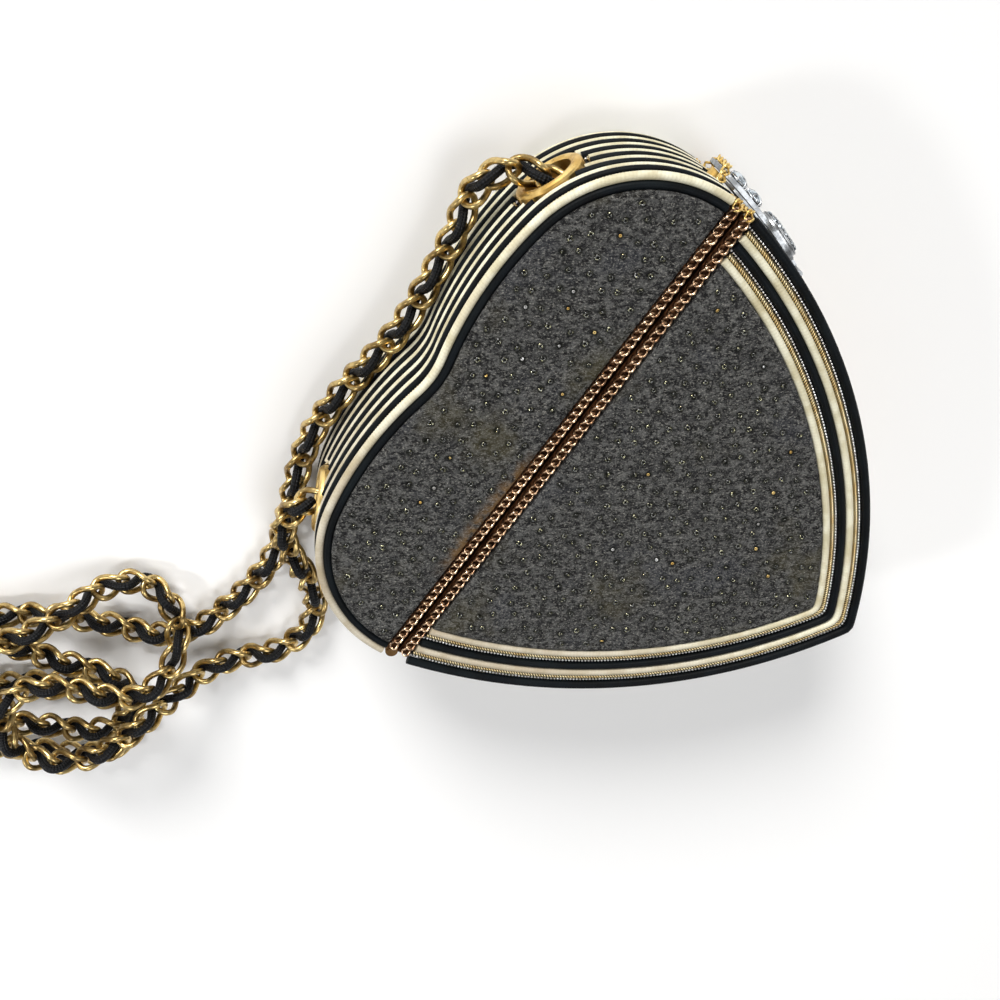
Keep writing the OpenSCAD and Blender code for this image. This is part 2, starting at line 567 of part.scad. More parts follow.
// Each bar passes through the strap's end link
bar_off = strap_link_len / 2 - strap_wire - bar_d / 2 - 2 * bore_gap;
function bar_in(p, q) = p + unit(q - p) * (strap_pitch / 2 - bar_off);
bar_right = bar_in(strap_at(0), strap_at(strap_step));
bar_left = bar_in(strap_at(strap_len), strap_at(strap_len - strap_step));
module strap_bar(p) {
    color("goldenrod") translate([p[0], p[1], rear_z + wall])
        cylinder(d = bar_d, h = front_z - rear_z - 2 * wall, $fn = fine);
}
module strap_bar_right() home() { strap_bar(bar_right); }
module strap_bar_left() home() { strap_bar(bar_left); }
module clasp_keeper() home() {
    color("goldenrod") difference() {
        on_side(keeper_y, side_r - inner) cylinder(d = magnet_d, h = inner + base_out - side_r, $fn = fine);
        translate([lobe_x, 0, -depth]) cylinder(r = shell_lobe_r + lining_gap, h = 3 * depth, $fn = fine);
    }
}

module pocket_shell() home() {
    color("dimgray") band(far_down, pocket_edge - rim_len) difference() {
        core(cover);
        core(inner);
    }
}
module pocket_rim() home() {
    color("goldenrod") band(pocket_edge - rim_len, pocket_edge) difference() {
        core(cover);
        core(lip_in);
    }
    color("goldenrod") band(pocket_edge - lip, seam_y + lip_len) difference() {
        core(lip_out);
        core(lip_in);
    }
}
module pocket_lining() home() {
    color("black") band(far_down, pocket_edge - rim_len) difference() {
        core(inner + lining_gap);
        core(lined);
    }
}
module pocket_front_felt() home() { color("darkslategray") band(far_down, pocket_trim) slab(pocket_felt_t, front_z, depth); }
module pocket_rear_felt() home() { color("darkslategray") band(far_down, pocket_trim) slab(pocket_felt_t, 0, rear_z); }
module pocket_cream_cords() home() {
    color("ivory") for (i = [1:groups - 1]) pocket_line(wall_t(cream_r), cream_r, cream_z(i), pocket_trim, pocket_leaf_trim);
}
module pocket_black_cords() home() {
    color("black") both_faces() pocket_line(corner_t, corner_r, front_z + corner_off, pocket_trim, pocket_trim);
    color("black") for (i = [0:groups - 1]) pocket_line(wall_t(black_r), black_r, cream_z(i) - black_down, pocket_trim, pocket_leaf_trim);
}
module pocket_silver_cords() home() {
    color("silver") for (i = [0:groups - 1]) pocket_line(wall_t(silver_r), silver_r, cream_z(i) - silver_down, pocket_trim, pocket_leaf_trim);
}
module pocket_gold_cords() home() {
    color("gold") for (i = [0:groups - 1]) pocket_line(wall_t(gold_r), gold_r, cream_z(i) - gold_down, pocket_trim, pocket_leaf_trim);
}
module face_cords(which) {
    both_faces() for (i = which) pocket_line(face_t(i), face_r[i], front_z + face_r[i] + cord_gap, pocket_trim, pocket_trim);
}
module face_silver_cords() home() { color("silver") face_cords([0, 4]); }
module face_gold_cords() home() { color("gold") face_cords([1, 5]); }
module face_cream_cords() home() { color("ivory") face_cords([2, 6]); }
module face_black_cords() home() { color("black") face_cords([3]); }
module pocket_front_chain() home() { seam_chain(pocket_chain_y, pocket_wall_x); }
module pocket_rear_chain() home() {
    translate([0, 0, depth]) mirror([0, 0, 1]) seam_chain(pocket_chain_y, pocket_wall_x);
}
module pocket_hinge_leaf() home() {
    hinge_leaf(side_c, side_r - cover + lining_gap, pocket_edge - leaf_len, pocket_edge, 1);
}

module clasp_base() home() {
    color("silver") difference() {
        union() {
            side_sector(base_in, base_out, clasp_pin_y, pocket_edge);
            for (z = [mid_z - clasp_wid / 2, mid_z + clasp_wid / 2 - end_knuckle])
                on_clasp_pin(z) cylinder(r = clasp_knuckle_r, h = end_knuckle, $fn = fine);
        }
        on_clasp_pin(mid_z - clasp_wid / 2 + end_knuckle)
            cylinder(r = clasp_knuckle_r + knuckle_side_gap, h = clasp_wid - 2 * end_knuckle, $fn = fine);
        on_clasp_pin(0) cylinder(r = clasp_pin_r + pin_fit, h = depth, $fn = fine);
    }
}
module clasp_pin() home() {
    color("silver") on_clasp_pin(mid_z - clasp_wid / 2) cylinder(r = clasp_pin_r, h = clasp_wid, $fn = fine);
}
module clasp_flap() home() {
    mid_knuckle = clasp_wid - 2 * end_knuckle - 2 * knuckle_side_gap;
    color("silver") difference() {
        union() {
            intersection() {
                side_sector(flap_in, flap_out, clasp_pin_y - over, clasp_tip_y + over);
                translate([0, 0, mid_z]) rotate([0, 90, 0]) linear_extrude(2 * side_r) {
                    capsule(clasp_neck, oval_y1 - clasp_wid, clasp_tip_y);
                    capsule(clasp_wid, clasp_pin_y + clasp_knuckle_r + knuckle_side_gap, oval_y1);
                    translate([-mid_knuckle / 2, clasp_pin_y]) square([mid_knuckle, clasp_wid]);
                }
            }
            on_clasp_pin(mid_z - mid_knuckle / 2) cylinder(r = clasp_knuckle_r, h = mid_knuckle, $fn = fine);
        }
        on_clasp_pin(0) cylinder(r = clasp_pin_r + pin_fit, h = depth, $fn = fine);
        on_side(keeper_y, flap_in - over) cylinder(d = magnet_d + 2 * pin_fit, h = over + magnet_t, $fn = fine);
    }
}
module clasp_magnet() home() {
    color("gray") on_side(keeper_y, flap_in + pin_fit) cylinder(d = magnet_d, h = magnet_t - 2 * pin_fit, $fn = fine);
}
module gem(d, h) {
    rotate_extrude($fn = fine) polygon([
        [0, 0], [d / 2 * gem_shares[0], 0], [d / 2, h * gem_shares[1]],
        [d / 2, h * gem_shares[2]], [d / 2 * gem_shares[3], h], [0, h]
    ]);
}
module clasp_stones() home() {
    color("whitesmoke") for (y = stone_ys) on_side(y, flap_out + stone_lift) gem(stone_d, stone_h);
    color("silver") on_side(oval_y, flap_out + stone_lift) {
        linear_extrude(pave_t) capsule(pave_wid, -pave_len / 2, pave_len / 2);
        for (i = [-dome_rows:dome_rows]) for (j = [-dome_rows:dome_rows]) if (dome_in(i, j) < pave_wid / 2 - dome_r)
            translate([j * dome_pitch, i * dome_pitch, pave_t]) sphere(dome_r, $fn = round_fn);
    }
}

module strap_links_near() home() { color("goldenrod") for (i = [0:floor(link_count / 2) - 1]) strap_link(i); }
module strap_links_far() home() { color("goldenrod") for (i = [floor(link_count / 2):link_count - 1]) strap_link(i); }
module strap_cord() home() {
    n = weave_count + 1;
    m = weave_sides;
    color("black") polyhedron(
        points = [for (i = [0:n - 1]) each weave_ring(i)],
        faces = concat(
            [[for (k = [0:m - 1]) k]],
            [for (i = [0:n - 2]) for (k = [0:m - 1]) each [
                [i * m + k, (i + 1) * m + k, i * m + (k + 1) % m],
                [i * m + (k + 1) % m, (i + 1) * m + k, (i + 1) * m + (k + 1) % m]]],
            [[for (k = [m - 1:-1:0]) (n - 1) * m + k]]
        )
    );
}

// The purse is set over its origin, midway between the hinge and the highest stone
stone_top_rad = flap_out + stone_lift + stone_h;
stone_top_d = stone_d * gem_shares[3];
stone_a = side_angle(stone_y);
clasp_reach = side_c[0] + stone_top_rad * cos(stone_a) - stone_top_d / 2 * sin(stone_a);
home_x = (barrel_r - pin_x - clasp_reach) / 2;
home_y = (tip_drop + tip_r - top_y) / 2;
module home() { translate([home_x, home_y, 0]) children(); }
lid_shell();
lid_rim();
lid_lining();
lid_front_felt();
lid_rear_felt();
lid_piping();
lid_cream_cords();
lid_black_cords();
lid_silver_cords();
lid_gold_cords();
lid_front_chain();
lid_rear_chain();
lid_hinge_leaf();
hinge_pin();
eyelet_right();
eyelet_left();
strap_bar_right();
strap_bar_left();
clasp_keeper();
pocket_shell();
pocket_rim();
pocket_lining();
pocket_front_felt();
pocket_rear_felt();
pocket_cream_cords();
pocket_black_cords();
pocket_silver_cords();
pocket_gold_cords();
face_cream_cords();
face_black_cords();
face_silver_cords();
face_gold_cords();
pocket_front_chain();
pocket_rear_chain();
pocket_hinge_leaf();
clasp_base();
clasp_pin();
clasp_flap();
clasp_stones();
clasp_magnet();
strap_links_near();
strap_links_far();
strap_cord();
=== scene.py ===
"""A hard heart shaped evening purse: felt faces, cord trimmed walls, a curb chain strap woven with cord."""
import math
import bpy
import numpy as np
from mathutils import Matrix, Vector
from mathutils.geometry import delaunay_2d_cdt


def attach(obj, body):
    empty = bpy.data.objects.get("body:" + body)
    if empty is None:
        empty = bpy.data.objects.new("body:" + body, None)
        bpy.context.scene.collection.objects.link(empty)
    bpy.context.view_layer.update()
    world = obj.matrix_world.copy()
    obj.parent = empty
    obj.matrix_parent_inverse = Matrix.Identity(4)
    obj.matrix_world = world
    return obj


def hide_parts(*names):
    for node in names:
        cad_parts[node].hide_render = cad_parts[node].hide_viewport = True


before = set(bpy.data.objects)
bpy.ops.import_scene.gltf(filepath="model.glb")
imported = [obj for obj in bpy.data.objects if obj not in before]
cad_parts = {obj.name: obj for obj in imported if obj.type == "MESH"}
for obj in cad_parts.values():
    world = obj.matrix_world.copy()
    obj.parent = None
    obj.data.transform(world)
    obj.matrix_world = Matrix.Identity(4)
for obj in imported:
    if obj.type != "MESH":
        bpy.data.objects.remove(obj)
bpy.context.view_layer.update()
MM = 0.001
FULL_TURN = 2 * math.pi
# The purse is drawn with y 0 on the lobes' centres, and set over its origin by this much, in millimetres
HOME = np.array([-1.61168, 39.4759, 0.0])

# ---------------------------------------------------------------- camera
CAMERA_AT = (0.093391, 0.165770, 0.339673)
CAMERA_RIGHT = (0.57904, -0.80670, 0.11812)
CAMERA_UP = (0.74140, 0.46072, -0.48792)
CAMERA_BACK = (0.33918, 0.37010, 0.86486)
LENS, SENSOR = 43.7, 36


def set_camera():
    data = bpy.data.cameras.new("camera")
    data.lens, data.sensor_width = LENS, SENSOR
    data.clip_start, data.clip_end = 0.01, 20
    camera = bpy.data.objects.new("camera", data)
    bpy.context.scene.collection.objects.link(camera)
    rows = [list(r) + [p] for r, p in zip(zip(CAMERA_RIGHT, CAMERA_UP, CAMERA_BACK), CAMERA_AT)]
    camera.matrix_world = Matrix(rows + [[0, 0, 0, 1]])
    bpy.context.scene.camera = camera


set_camera()

# ---------------------------------------------------------------- sizes, in millimetres
DEPTH, MID_Z, FRONT_Z = 46.0, 23.0, 43.6
LOBE_R, LOBE_C = 41.0, np.array([41.5, 0.0])
SHOULDER_R, SHOULDER_C, SHOULDER_START = 110.0, np.array([29.5183, -67.9517]), 80.0
CLEFT_R, CLEFT_C, CLEFT_TURN = 24.0, np.array([0.0, 62.7566]), 12.7258
SIDE_R, SIDE_C, SIDE_END = 166.0, np.array([-81.348, 23.0946]), -59.8578
TIP_R, TIP_C = 4.0, np.array([0.0, -117.0])
# From this inset on the point has no arc left, and its corner is eased instead
SHARP_T = TIP_R - 1.3
COVER, LINED = 2.4, 4.75
CREAM_R, BLACK_R, SILVER_R, GOLD_R, CORNER_R, PIPING_R, GAP = 1.15, 1.1, 0.5, 0.7, 1.3, 1.1, 0.05
GROUPS, PITCH = 6, 7.1495
CREAM_OFF = (CREAM_R + GAP) / math.sqrt(2)
CORNER_OFF = (CORNER_R + GAP) / math.sqrt(2)
CORNER_Z = FRONT_Z + CREAM_OFF
SLACK = 0.0624
GOLD_DOWN = CREAM_R + SLACK + GOLD_R
SILVER_DOWN = GOLD_DOWN + GOLD_R + SLACK + SILVER_R
BLACK_DOWN = SILVER_DOWN + SILVER_R + SLACK + BLACK_R
LID_TRIM, POCKET_TRIM, LID_LEAF_TRIM, POCKET_LEAF_TRIM = 0.2, -8.2, 3.8, -11.8
LID_FELT_T, POCKET_FELT_T = 5.0, 14.745
EYELET_AT, EYELET_OD = 67.0, 20.0
KEEPER_Y, MAGNET_D = -0.7, 5.0
FACE_R = [SILVER_R, GOLD_R, CREAM_R, BLACK_R, SILVER_R, GOLD_R, CREAM_R]
CORNER_T = COVER - CORNER_OFF
# The gold rope's strands, and the length in which each goes once round
STRANDS, LAY = 3, 2.5


# ---------------------------------------------------------------- shader maths
def maths(operation, turned=False):
    """A method that adds one Math node, with its two inputs turned round where Python needs that."""
    def method(self, *others):
        inputs = [*others, self] if turned else [self, *others]
        return self.made.node("ShaderNodeMath", {"operation": operation}, *inputs)
    return method


class Val:
    """A value on its way through a material. Sums on it become Math nodes."""

    def __init__(self, made, out):
        self.made, self.out = made, out

    __add__ = maths("ADD")
    __radd__ = maths("ADD", True)
    __sub__ = maths("SUBTRACT")
    __rsub__ = maths("SUBTRACT", True)
    __mul__ = maths("MULTIPLY")
    __rmul__ = maths("MULTIPLY", True)
    __pow__ = maths("POWER")
    sin = maths("SINE")
    abs = maths("ABSOLUTE")

    def ramp(self, low, high):
        """0 below low, 1 above high, and smooth between."""
        settings = {"interpolation_type": "SMOOTHSTEP"}
        return self.made.node("ShaderNodeMapRange", settings, self, low, high, 0.0, 1.0)


class Finish:
    """One material, made node by node."""

    def __init__(self, name):
        self.material = bpy.data.materials.new(name)
        self.material.use_nodes = True
        self.tree = self.material.node_tree
        self.tree.nodes.clear()
        self.end = self.tree.nodes.new("ShaderNodeOutputMaterial")

    def node(self, kind, settings=None, *inputs, out=0, **named):
        made = self.tree.nodes.new(kind)
        for key, value in (settings or {}).items():
            setattr(made, key, value)
        for socket, value in zip(made.inputs, inputs):
            self.join(socket, value)
        for key, value in named.items():
            self.join(made.inputs[key.replace("_", " ")], value)
        return Val(self, made.outputs[out])

    def join(self, socket, value):
        if value is None:
            return
        if isinstance(value, Val):
            self.tree.links.new(value.out, socket)
        elif hasattr(value, "__len__") and len(value) == 3 and len(socket.default_value) == 4:
            socket.default_value = (*value, 1)
        else:
            socket.default_value = value

    def mix(self, share, a, b):
        """Colour a where share is 0, b where it is 1."""
        made = self.tree.nodes.new("ShaderNodeMix")
        made.data_type = "RGBA"
        for index, value in ((0, share), (6, a), (7, b)):
            self.join(made.inputs[index], value)
        return Val(self, made.outputs[2])

    def place(self):
        """The place on the object, in metres."""
        return self.node("ShaderNodeTexCoord", None, out=3)

    def parts(self, vector):
        split = self.node("ShaderNodeSeparateXYZ", None, vector)
        return [Val(self, socket) for socket in split.out.node.outputs]

    def uv(self):
        """On a cord: metres along it, and turns round it."""
        return self.parts(self.node("ShaderNodeTexCoord", None, out=2))[:2]

    def xyz(self):
        return self.parts(self.place())

    def noise(self, scale, detail=4.0, roughness=0.55, where=None):
        look = {"Vector": where or self.place(), "Scale": scale, "Detail": detail, "Roughness": roughness}
        return self.node("ShaderNodeTexNoise", None, **look)

    def bump(self, height, depth, strength):
        return self.node("ShaderNodeBump", None, strength, depth, Height=height)

    def done(self, colour, roughness, normal=None, metallic=0.0, **more):
        made = self.tree.nodes.new("ShaderNodeBsdfPrincipled")
        wanted = {"Base Color": colour, "Roughness": roughness, "Metallic": metallic, "Normal": normal}
        wanted.update({k.replace("_", " "): v for k, v in more.items()})
        for key, value in wanted.items():
            self.join(made.inputs[key], value)
        self.tree.links.new(made.outputs[0], self.end.inputs[0])
        return self.material


# ---------------------------------------------------------------- finishes
# How the felt's nap lies: turned by this many radians, and a little longer than wide
NAP_TURN, NAP_STRETCH = 0.95, (0.85, 1.2, 1.0)
# The middle of the rust coloured mark beside the seam, in metres
RUST_AT = (-0.028, 0.0385)
THREADS = 9000.0


def charcoal_felt():
    """Pressed wool: dark and grainy, with pale hairs and brown blots, and painted shade near black in the
    dimple round each sewn bead.
    """
    f = Finish("charcoal_felt")
    lying = {"rotation_type": "Z_AXIS"}
    nap = f.node("ShaderNodeVectorRotate", lying, f.place(), (0.0, 0.0, 0.0), (0.0, 0.0, 1.0), NAP_TURN)
    nap = f.node("ShaderNodeVectorMath", {"operation": "MULTIPLY"}, nap, NAP_STRETCH)
    streaks = f.noise(520.0, 6.0, 0.75, nap)
    fibres = f.noise(1700.0, 3.0, 0.8, nap)
    clouds = f.noise(150.0, 5.0, 0.65)
    blue_clouds = f.noise(42.0, 4.0, 0.6)
    brown_clouds = f.noise(30.0, 4.0, 0.6)
    dimple = f.node("ShaderNodeAttribute", {"attribute_name": "dimple"}, out=2)
    x, y, z = f.xyz()
    # A rust coloured mark lies along the lid's side of the seam, towards the hinge
    by_seam = 1 - (y - RUST_AT[1]).abs().ramp(0.0, 0.006)
    rust = by_seam * (1 - (x - RUST_AT[0]).abs().ramp(0.012, 0.026)) * f.noise(240.0).ramp(0.35, 0.58)
    base = f.mix(streaks.ramp(0.42, 0.59), (0.017, 0.017, 0.018), (0.132, 0.132, 0.128))
    base = f.mix(clouds.ramp(0.44, 0.62) * 0.5, base, (0.036, 0.036, 0.038))
    base = f.mix(blue_clouds.ramp(0.52, 0.68) * 0.35, base, (0.070, 0.074, 0.090))
    base = f.mix(fibres.ramp(0.53, 0.72) * 0.9, base, (0.400, 0.390, 0.350))
    base = f.mix(fibres.ramp(0.49, 0.30) * 0.9, base, (0.004, 0.004, 0.004))
    base = f.mix(brown_clouds.ramp(0.52, 0.72) * 0.42, base, (0.115, 0.100, 0.046))
    base = f.mix(rust * 0.85, base, (0.30, 0.165, 0.058))
    # Painted shade: the felt turns near black in the dimple round each sewn bead
    base = f.mix(dimple.ramp(0.15, 0.75) * 0.85, base, (0.006, 0.007, 0.005))
    height = streaks * 0.7 + fibres * 0.5 + clouds * 0.4
    return f.done(base, 0.95, f.bump(height, 0.0013, 1.0), Specular_IOR_Level=0.08)


def satin(name, light, dark, stain_and_crease_shade, stain_share, roughness, turns, ribs, gloss, hinge_stain_and_shade=None):
    """Satin wound round a cord, with fine slanting ribs. Where a last colour is given, the cord is mixed
    towards it on the hinge's side: partly a grey stain, partly painted shade.
    """
    f = Finish(name)
    along, round_ = f.uv()
    wrap = ((along * turns + round_) * FULL_TURN).sin()
    threads = ((along * turns * 5.0 + round_) * FULL_TURN).sin()
    base = f.mix(f.noise(140.0, 4.0, 0.6).ramp(0.38, 0.66), light, dark)
    base = f.mix(f.noise(52.0, 3.0).ramp(0.50, 0.68) * stain_share, base, stain_and_crease_shade)
    # Painted shade: in the troughs between the wraps the colour is mixed towards the stain colour, which in
    # the cream satin is darker
    base = f.mix((0.5 - wrap * 0.5) ** 3.0 * ribs, base, stain_and_crease_shade)
    if hinge_stain_and_shade:
        x, y, z = f.xyz()
        # Greyer towards the hinge: partly a stain, partly painted shade
        base = f.mix((1 - x.ramp(-0.060, 0.005)) * 0.42, base, hinge_stain_and_shade)
    rough = f.noise(500.0, 2.0) * 0.2 + roughness
    relief = f.bump(wrap * 0.7 + threads * 0.3, 0.00004, 0.5)
    return f.done(base, rough, relief, Specular_IOR_Level=gloss)


def cream_satin():
    tones = (0.80, 0.77, 0.60), (0.60, 0.55, 0.37), (0.40, 0.31, 0.14)
    return satin("cream_satin", *tones, 0.40, 0.36, 1000.0, 0.14, 0.35, (0.25, 0.17, 0.15))


def aged_cream_satin():
    """The point's wall has browned low on the clasp's side."""
    f = Finish("aged_cream_satin")
    along, round_ = f.uv()
    wrap = ((along * 700.0 + round_) * FULL_TURN).sin()
    x, y, z = f.xyz()
    low = (1 - y.ramp(-0.020, 0.012)) * x.ramp(0.0, 0.03)
    base = f.mix(f.noise(140.0).ramp(0.38, 0.66), (0.83, 0.80, 0.66), (0.66, 0.61, 0.44))
    base = f.mix(low * 0.75, base, (0.52, 0.27, 0.07))
    # Painted shade: darker brown in the troughs between the wraps
    base = f.mix((0.5 - wrap * 0.5) ** 3.0 * 0.3, base, (0.40, 0.30, 0.14))
    rough = f.noise(500.0) * 0.2 + 0.36
    return f.done(base, rough, f.bump(wrap, 0.00008, 0.8), Specular_IOR_Level=0.35)


def black_satin():
    tones = (0.001, 0.0015, 0.002), (0.002, 0.004, 0.006), (0.006, 0.010, 0.012)
    return satin("black_satin", *tones, 0.5, 0.42, 1100.0, 0.2, 0.12)


def metal(name, bright, dull, dirt, roughness, wear_scale=300.0, dirt_share=0.6):
    """Plated metal: bright where it is rubbed, duller and darker where it isn't."""
    f = Finish(name)
    clouds = f.noise(wear_scale, 4.0, 0.6)
    specks = f.noise(wear_scale * 6, 3.0, 0.6)
    base = f.mix(clouds.ramp(0.40, 0.62), bright, dull)
    base = f.mix(specks.ramp(0.56, 0.74) * dirt_share, base, dirt)
    rough = clouds * 0.22 + specks * 0.10 + roughness
    return f.done(base, rough, f.bump(specks * 0.5 + clouds, 0.00004, 0.5), 1.0)


def gold_braid():
    """Gilt thread laid up as a rope: bright over each strand, with painted shade near black in the grooves
    between.
    """
    f = Finish("gold_braid")
    along, round_ = f.uv()
    groove_shade = ((round_ * STRANDS - along * (STRANDS / LAY / MM) + 0.25) * FULL_TURN).sin()
    wear = f.noise(260.0, 4.0, 0.6)
    base = f.mix(wear.ramp(0.38, 0.64), (1.0, 0.84, 0.50), (0.80, 0.58, 0.26))
    # Painted shade: near black in the grooves between the strands
    base = f.mix(groove_shade.ramp(0.10, 0.85), base, (0.040, 0.020, 0.008))
    return f.done(base, wear * 0.2 + 0.26, None, 1.0)


def jewel(name, tint, roughness=0.04):
    """A foil backed cut stone."""
    f = Finish(name)
    flaws = f.noise(700.0, 3.0)
    base = f.mix(flaws.ramp(0.42, 0.62), tint, (0.10, 0.12, 0.14))
    return f.done(base, flaws * 0.05 + roughness, None, 0.9, Coat_Weight=1.0, Coat_Roughness=0.02)


def glass_bead():
    f = Finish("jet_bead")
    clouds = f.noise(1500.0)
    base = f.mix(clouds.ramp(0.52, 0.62), (0.006, 0.007, 0.004), (0.30, 0.29, 0.17))
    flecks = clouds.ramp(0.52, 0.60)
    return f.done(base, clouds * 0.1 + 0.10, None, flecks, Coat_Weight=1.0, Coat_Roughness=0.03)


def braided_cord():
    """Eight plaited ends: two families of slanting ribs that pass over and under one another."""
    f = Finish("braided_cord")
    along, round_ = f.uv()
    left, right = along * 640.0 + round_ * 5.0, along * 640.0 - round_ * 5.0
    plait = (left * FULL_TURN).sin() * (right * FULL_TURN).sin()
    threads = f.noise(2400.0, 3.0, 0.7)
    # Painted shade: the plait is a little darker where it sinks and lighter where it rises
    base = f.mix(plait.ramp(-0.2, 0.6), (0.001, 0.0012, 0.0018), (0.005, 0.006, 0.008))
    base = f.mix(threads.ramp(0.60, 0.76) * 0.6, base, (0.060, 0.066, 0.076))
    relief = f.bump(plait + threads * 0.4, 0.0002, 0.8)
    return f.done(base, threads * 0.25 + 0.36, relief, Specular_IOR_Level=0.2)


def lining_cloth():
    """Thin plain weave, about 1.4 threads to the millimetre."""
    f = Finish("lining_cloth")
    x, y, z = f.xyz()
    weave = (x * THREADS).sin() * (y * THREADS).sin() + (z * THREADS).sin() * 0.5
    clouds = f.noise(60.0)
    base = f.mix(clouds.ramp(0.35, 0.65), (0.012, 0.012, 0.014), (0.030, 0.030, 0.034))
    relief = f.bump(weave * 0.5 + clouds * 2.0, 0.0002, 0.6)
    return f.done(base, clouds * 0.2 + 0.6, relief, Specular_IOR_Level=0.25)


def black_board():
    f = Finish("black_board")
    grain = f.noise(800.0, 4.0, 0.7)
    base = f.mix(grain.ramp(0.4, 0.62), (0.010, 0.010, 0.012), (0.026, 0.024, 0.024))
    return f.done(base, grain * 0.2 + 0.65, f.bump(grain, 0.0002, 0.6))


def floor_finish():
    f = Finish("pale_floor")
    clouds = f.noise(3.0, 2.0)
    base = f.mix(clouds.ramp(0.3, 0.7), (0.93, 0.93, 0.93), (0.96, 0.96, 0.96))
    return f.done(base, 0.85, None, Specular_IOR_Level=0.1)


FELT = charcoal_felt()
CREAM, AGED, BLACK = cream_satin(), aged_cream_satin(), black_satin()
SILVER = metal("silver_beads", (0.86, 0.86, 0.87), (0.60, 0.58, 0.56), (0.20, 0.17, 0.15), 0.18)
BRAID = gold_braid()
CURB = metal("rose_curb", (0.84, 0.61, 0.41), (0.25, 0.14, 0.078), (0.03, 0.014, 0.008), 0.12, 420.0, 0.8)
# A brighter copy of the rose curb, for the links on the wall and the flap's neck: painted light where the key
# lamp falls on them
CURB_PAINTED_LIGHT = metal("curb_painted_light", (0.95, 0.72, 0.28), (0.72, 0.46, 0.13), (0.20, 0.10, 0.03), 0.18)
BRASS = metal("antique_brass", (0.70, 0.52, 0.22), (0.30, 0.20, 0.075), (0.07, 0.042, 0.018), 0.16,
              170.0, 0.8)
GILT = metal("gilt_brass", (0.90, 0.66, 0.26), (0.66, 0.42, 0.12), (0.24, 0.12, 0.04), 0.20, 120.0, 0.5)
# The rims under the seam chains: dark brown gilt, made near black as painted shade seen through the links
SEAM_GILT_AND_SHADE = metal("seam_gilt_and_shade", (0.105, 0.048, 0.022), (0.035, 0.016, 0.009), (0.010, 0.005, 0.004), 0.38,
                  260.0, 0.7)
WHITE_METAL = metal("white_metal", (0.62, 0.64, 0.66), (0.34, 0.35, 0.36), (0.08, 0.08, 0.08), 0.16)
BRONZE = metal("bronze", (0.40, 0.24, 0.10), (0.20, 0.11, 0.045), (0.06, 0.03, 0.012), 0.28, 150.0, 0.6)
# White metal, darker all over, for the clasp's base, pin and flap
DARK_WHITE_METAL = metal("dark_white_metal", (0.42, 0.44, 0.46), (0.20, 0.21, 0.22), (0.04, 0.04, 0.04), 0.24)
STEEL = metal("magnet_steel", (0.45, 0.45, 0.47), (0.30, 0.30, 0.31), (0.12, 0.11, 0.10), 0.3)
STONE, PAVE = jewel("cut_stone", (0.70, 0.78, 0.84)), jewel("pave_stone", (0.56, 0.62, 0.66), 0.06)
JET, PLAIT, CLOTH, BOARD = glass_bead(), braided_cord(), lining_cloth(), black_board()


# ---------------------------------------------------------------- mesh making
class Stock:
    """Collects corners and faces, in millimetres, until they become one piece."""

    def __init__(self):
        self.points, self.faces, self.sizes, self.uvs, self.marks, self.count = [], [], [], [], [], 0

    def add(self, points, *face_sets, uv=None, mark=0):
        for faces in face_sets:
            self.faces.append((faces + self.count).ravel())
            self.sizes.append(np.full(len(faces), faces.shape[1]))
            self.uvs.append(np.zeros((faces.size, 2)) if uv is None else uv.reshape(-1, 2))
            self.marks.append(np.full(len(faces), mark))
        self.points.append(points)
        self.count += len(points)

    def piece(self, name, finishes, body, replaces=None, smooth=True):
        """One object of all that was collected: each face's mark is the number of its finish."""
        finishes = finishes if isinstance(finishes, list) else [finishes]
        points = (np.vstack(self.points) + HOME) * MM
        loops, sizes = np.concatenate(self.faces), np.concatenate(self.sizes)
        mesh = bpy.data.meshes.new(name)
        mesh.vertices.add(len(points))
        mesh.vertices.foreach_set("co", points.astype(np.float32).ravel())
        mesh.loops.add(len(loops))
        mesh.loops.foreach_set("vertex_index", loops.astype(np.int32))
        mesh.polygons.add(len(sizes))
        starts = np.concatenate([[0], np.cumsum(sizes)[:-1]])
        mesh.polygons.foreach_set("loop_start", starts.astype(np.int32))
        mesh.polygons.foreach_set("material_index", np.concatenate(self.marks).astype(np.int32))
        mesh.update(calc_edges=True)
        mesh.validate()
        layer = mesh.uv_layers.new(name="UVMap")
        layer.data.foreach_set("uv", np.vstack(self.uvs).astype(np.float32).ravel())
        mesh.shade_smooth() if smooth else mesh.shade_flat()
        for finish in finishes:
            mesh.materials.append(finish)
        made = bpy.data.objects.new(name, mesh)
        bpy.context.scene.collection.objects.link(made)
        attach(made, body)
        if replaces:
            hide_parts(replaces)
        return made


def lengths(path):
    return np.concatenate([[0], np.cumsum(np.linalg.norm(np.diff(path, axis=0), axis=1))])


def unit(rows):
    return rows / np.linalg.norm(rows, axis=1)[:, None]


def square_to(line, ways):
    """Each way with its share along the line taken out, at length 1."""
    return unit(ways - (ways * line).sum(1)[:, None] * line)


def turns_of(count, shift=0.0):
    """Angles evenly spaced round a full turn."""
    return FULL_TURN * (np.arange(count) + shift) / count


def pairs(n, m):
    """Every number below n with every one below m."""
    i, k = np.meshgrid(np.arange(n), np.arange(m), indexing="ij")
    return i.ravel(), k.ravel()


def sections(path, line, side_way, r, sides):
    """The corners of a ring round each point of a path, the first of each towards side_way."""
    first = square_to(line, side_way)
    second = np.cross(line, first)
    turn = turns_of(sides)
    ring = np.cos(turn)[None, :, None] * first[:, None] + np.sin(turn)[None, :, None] * second[:, None]
    return (path[:, None] + r * ring).reshape(-1, 3)


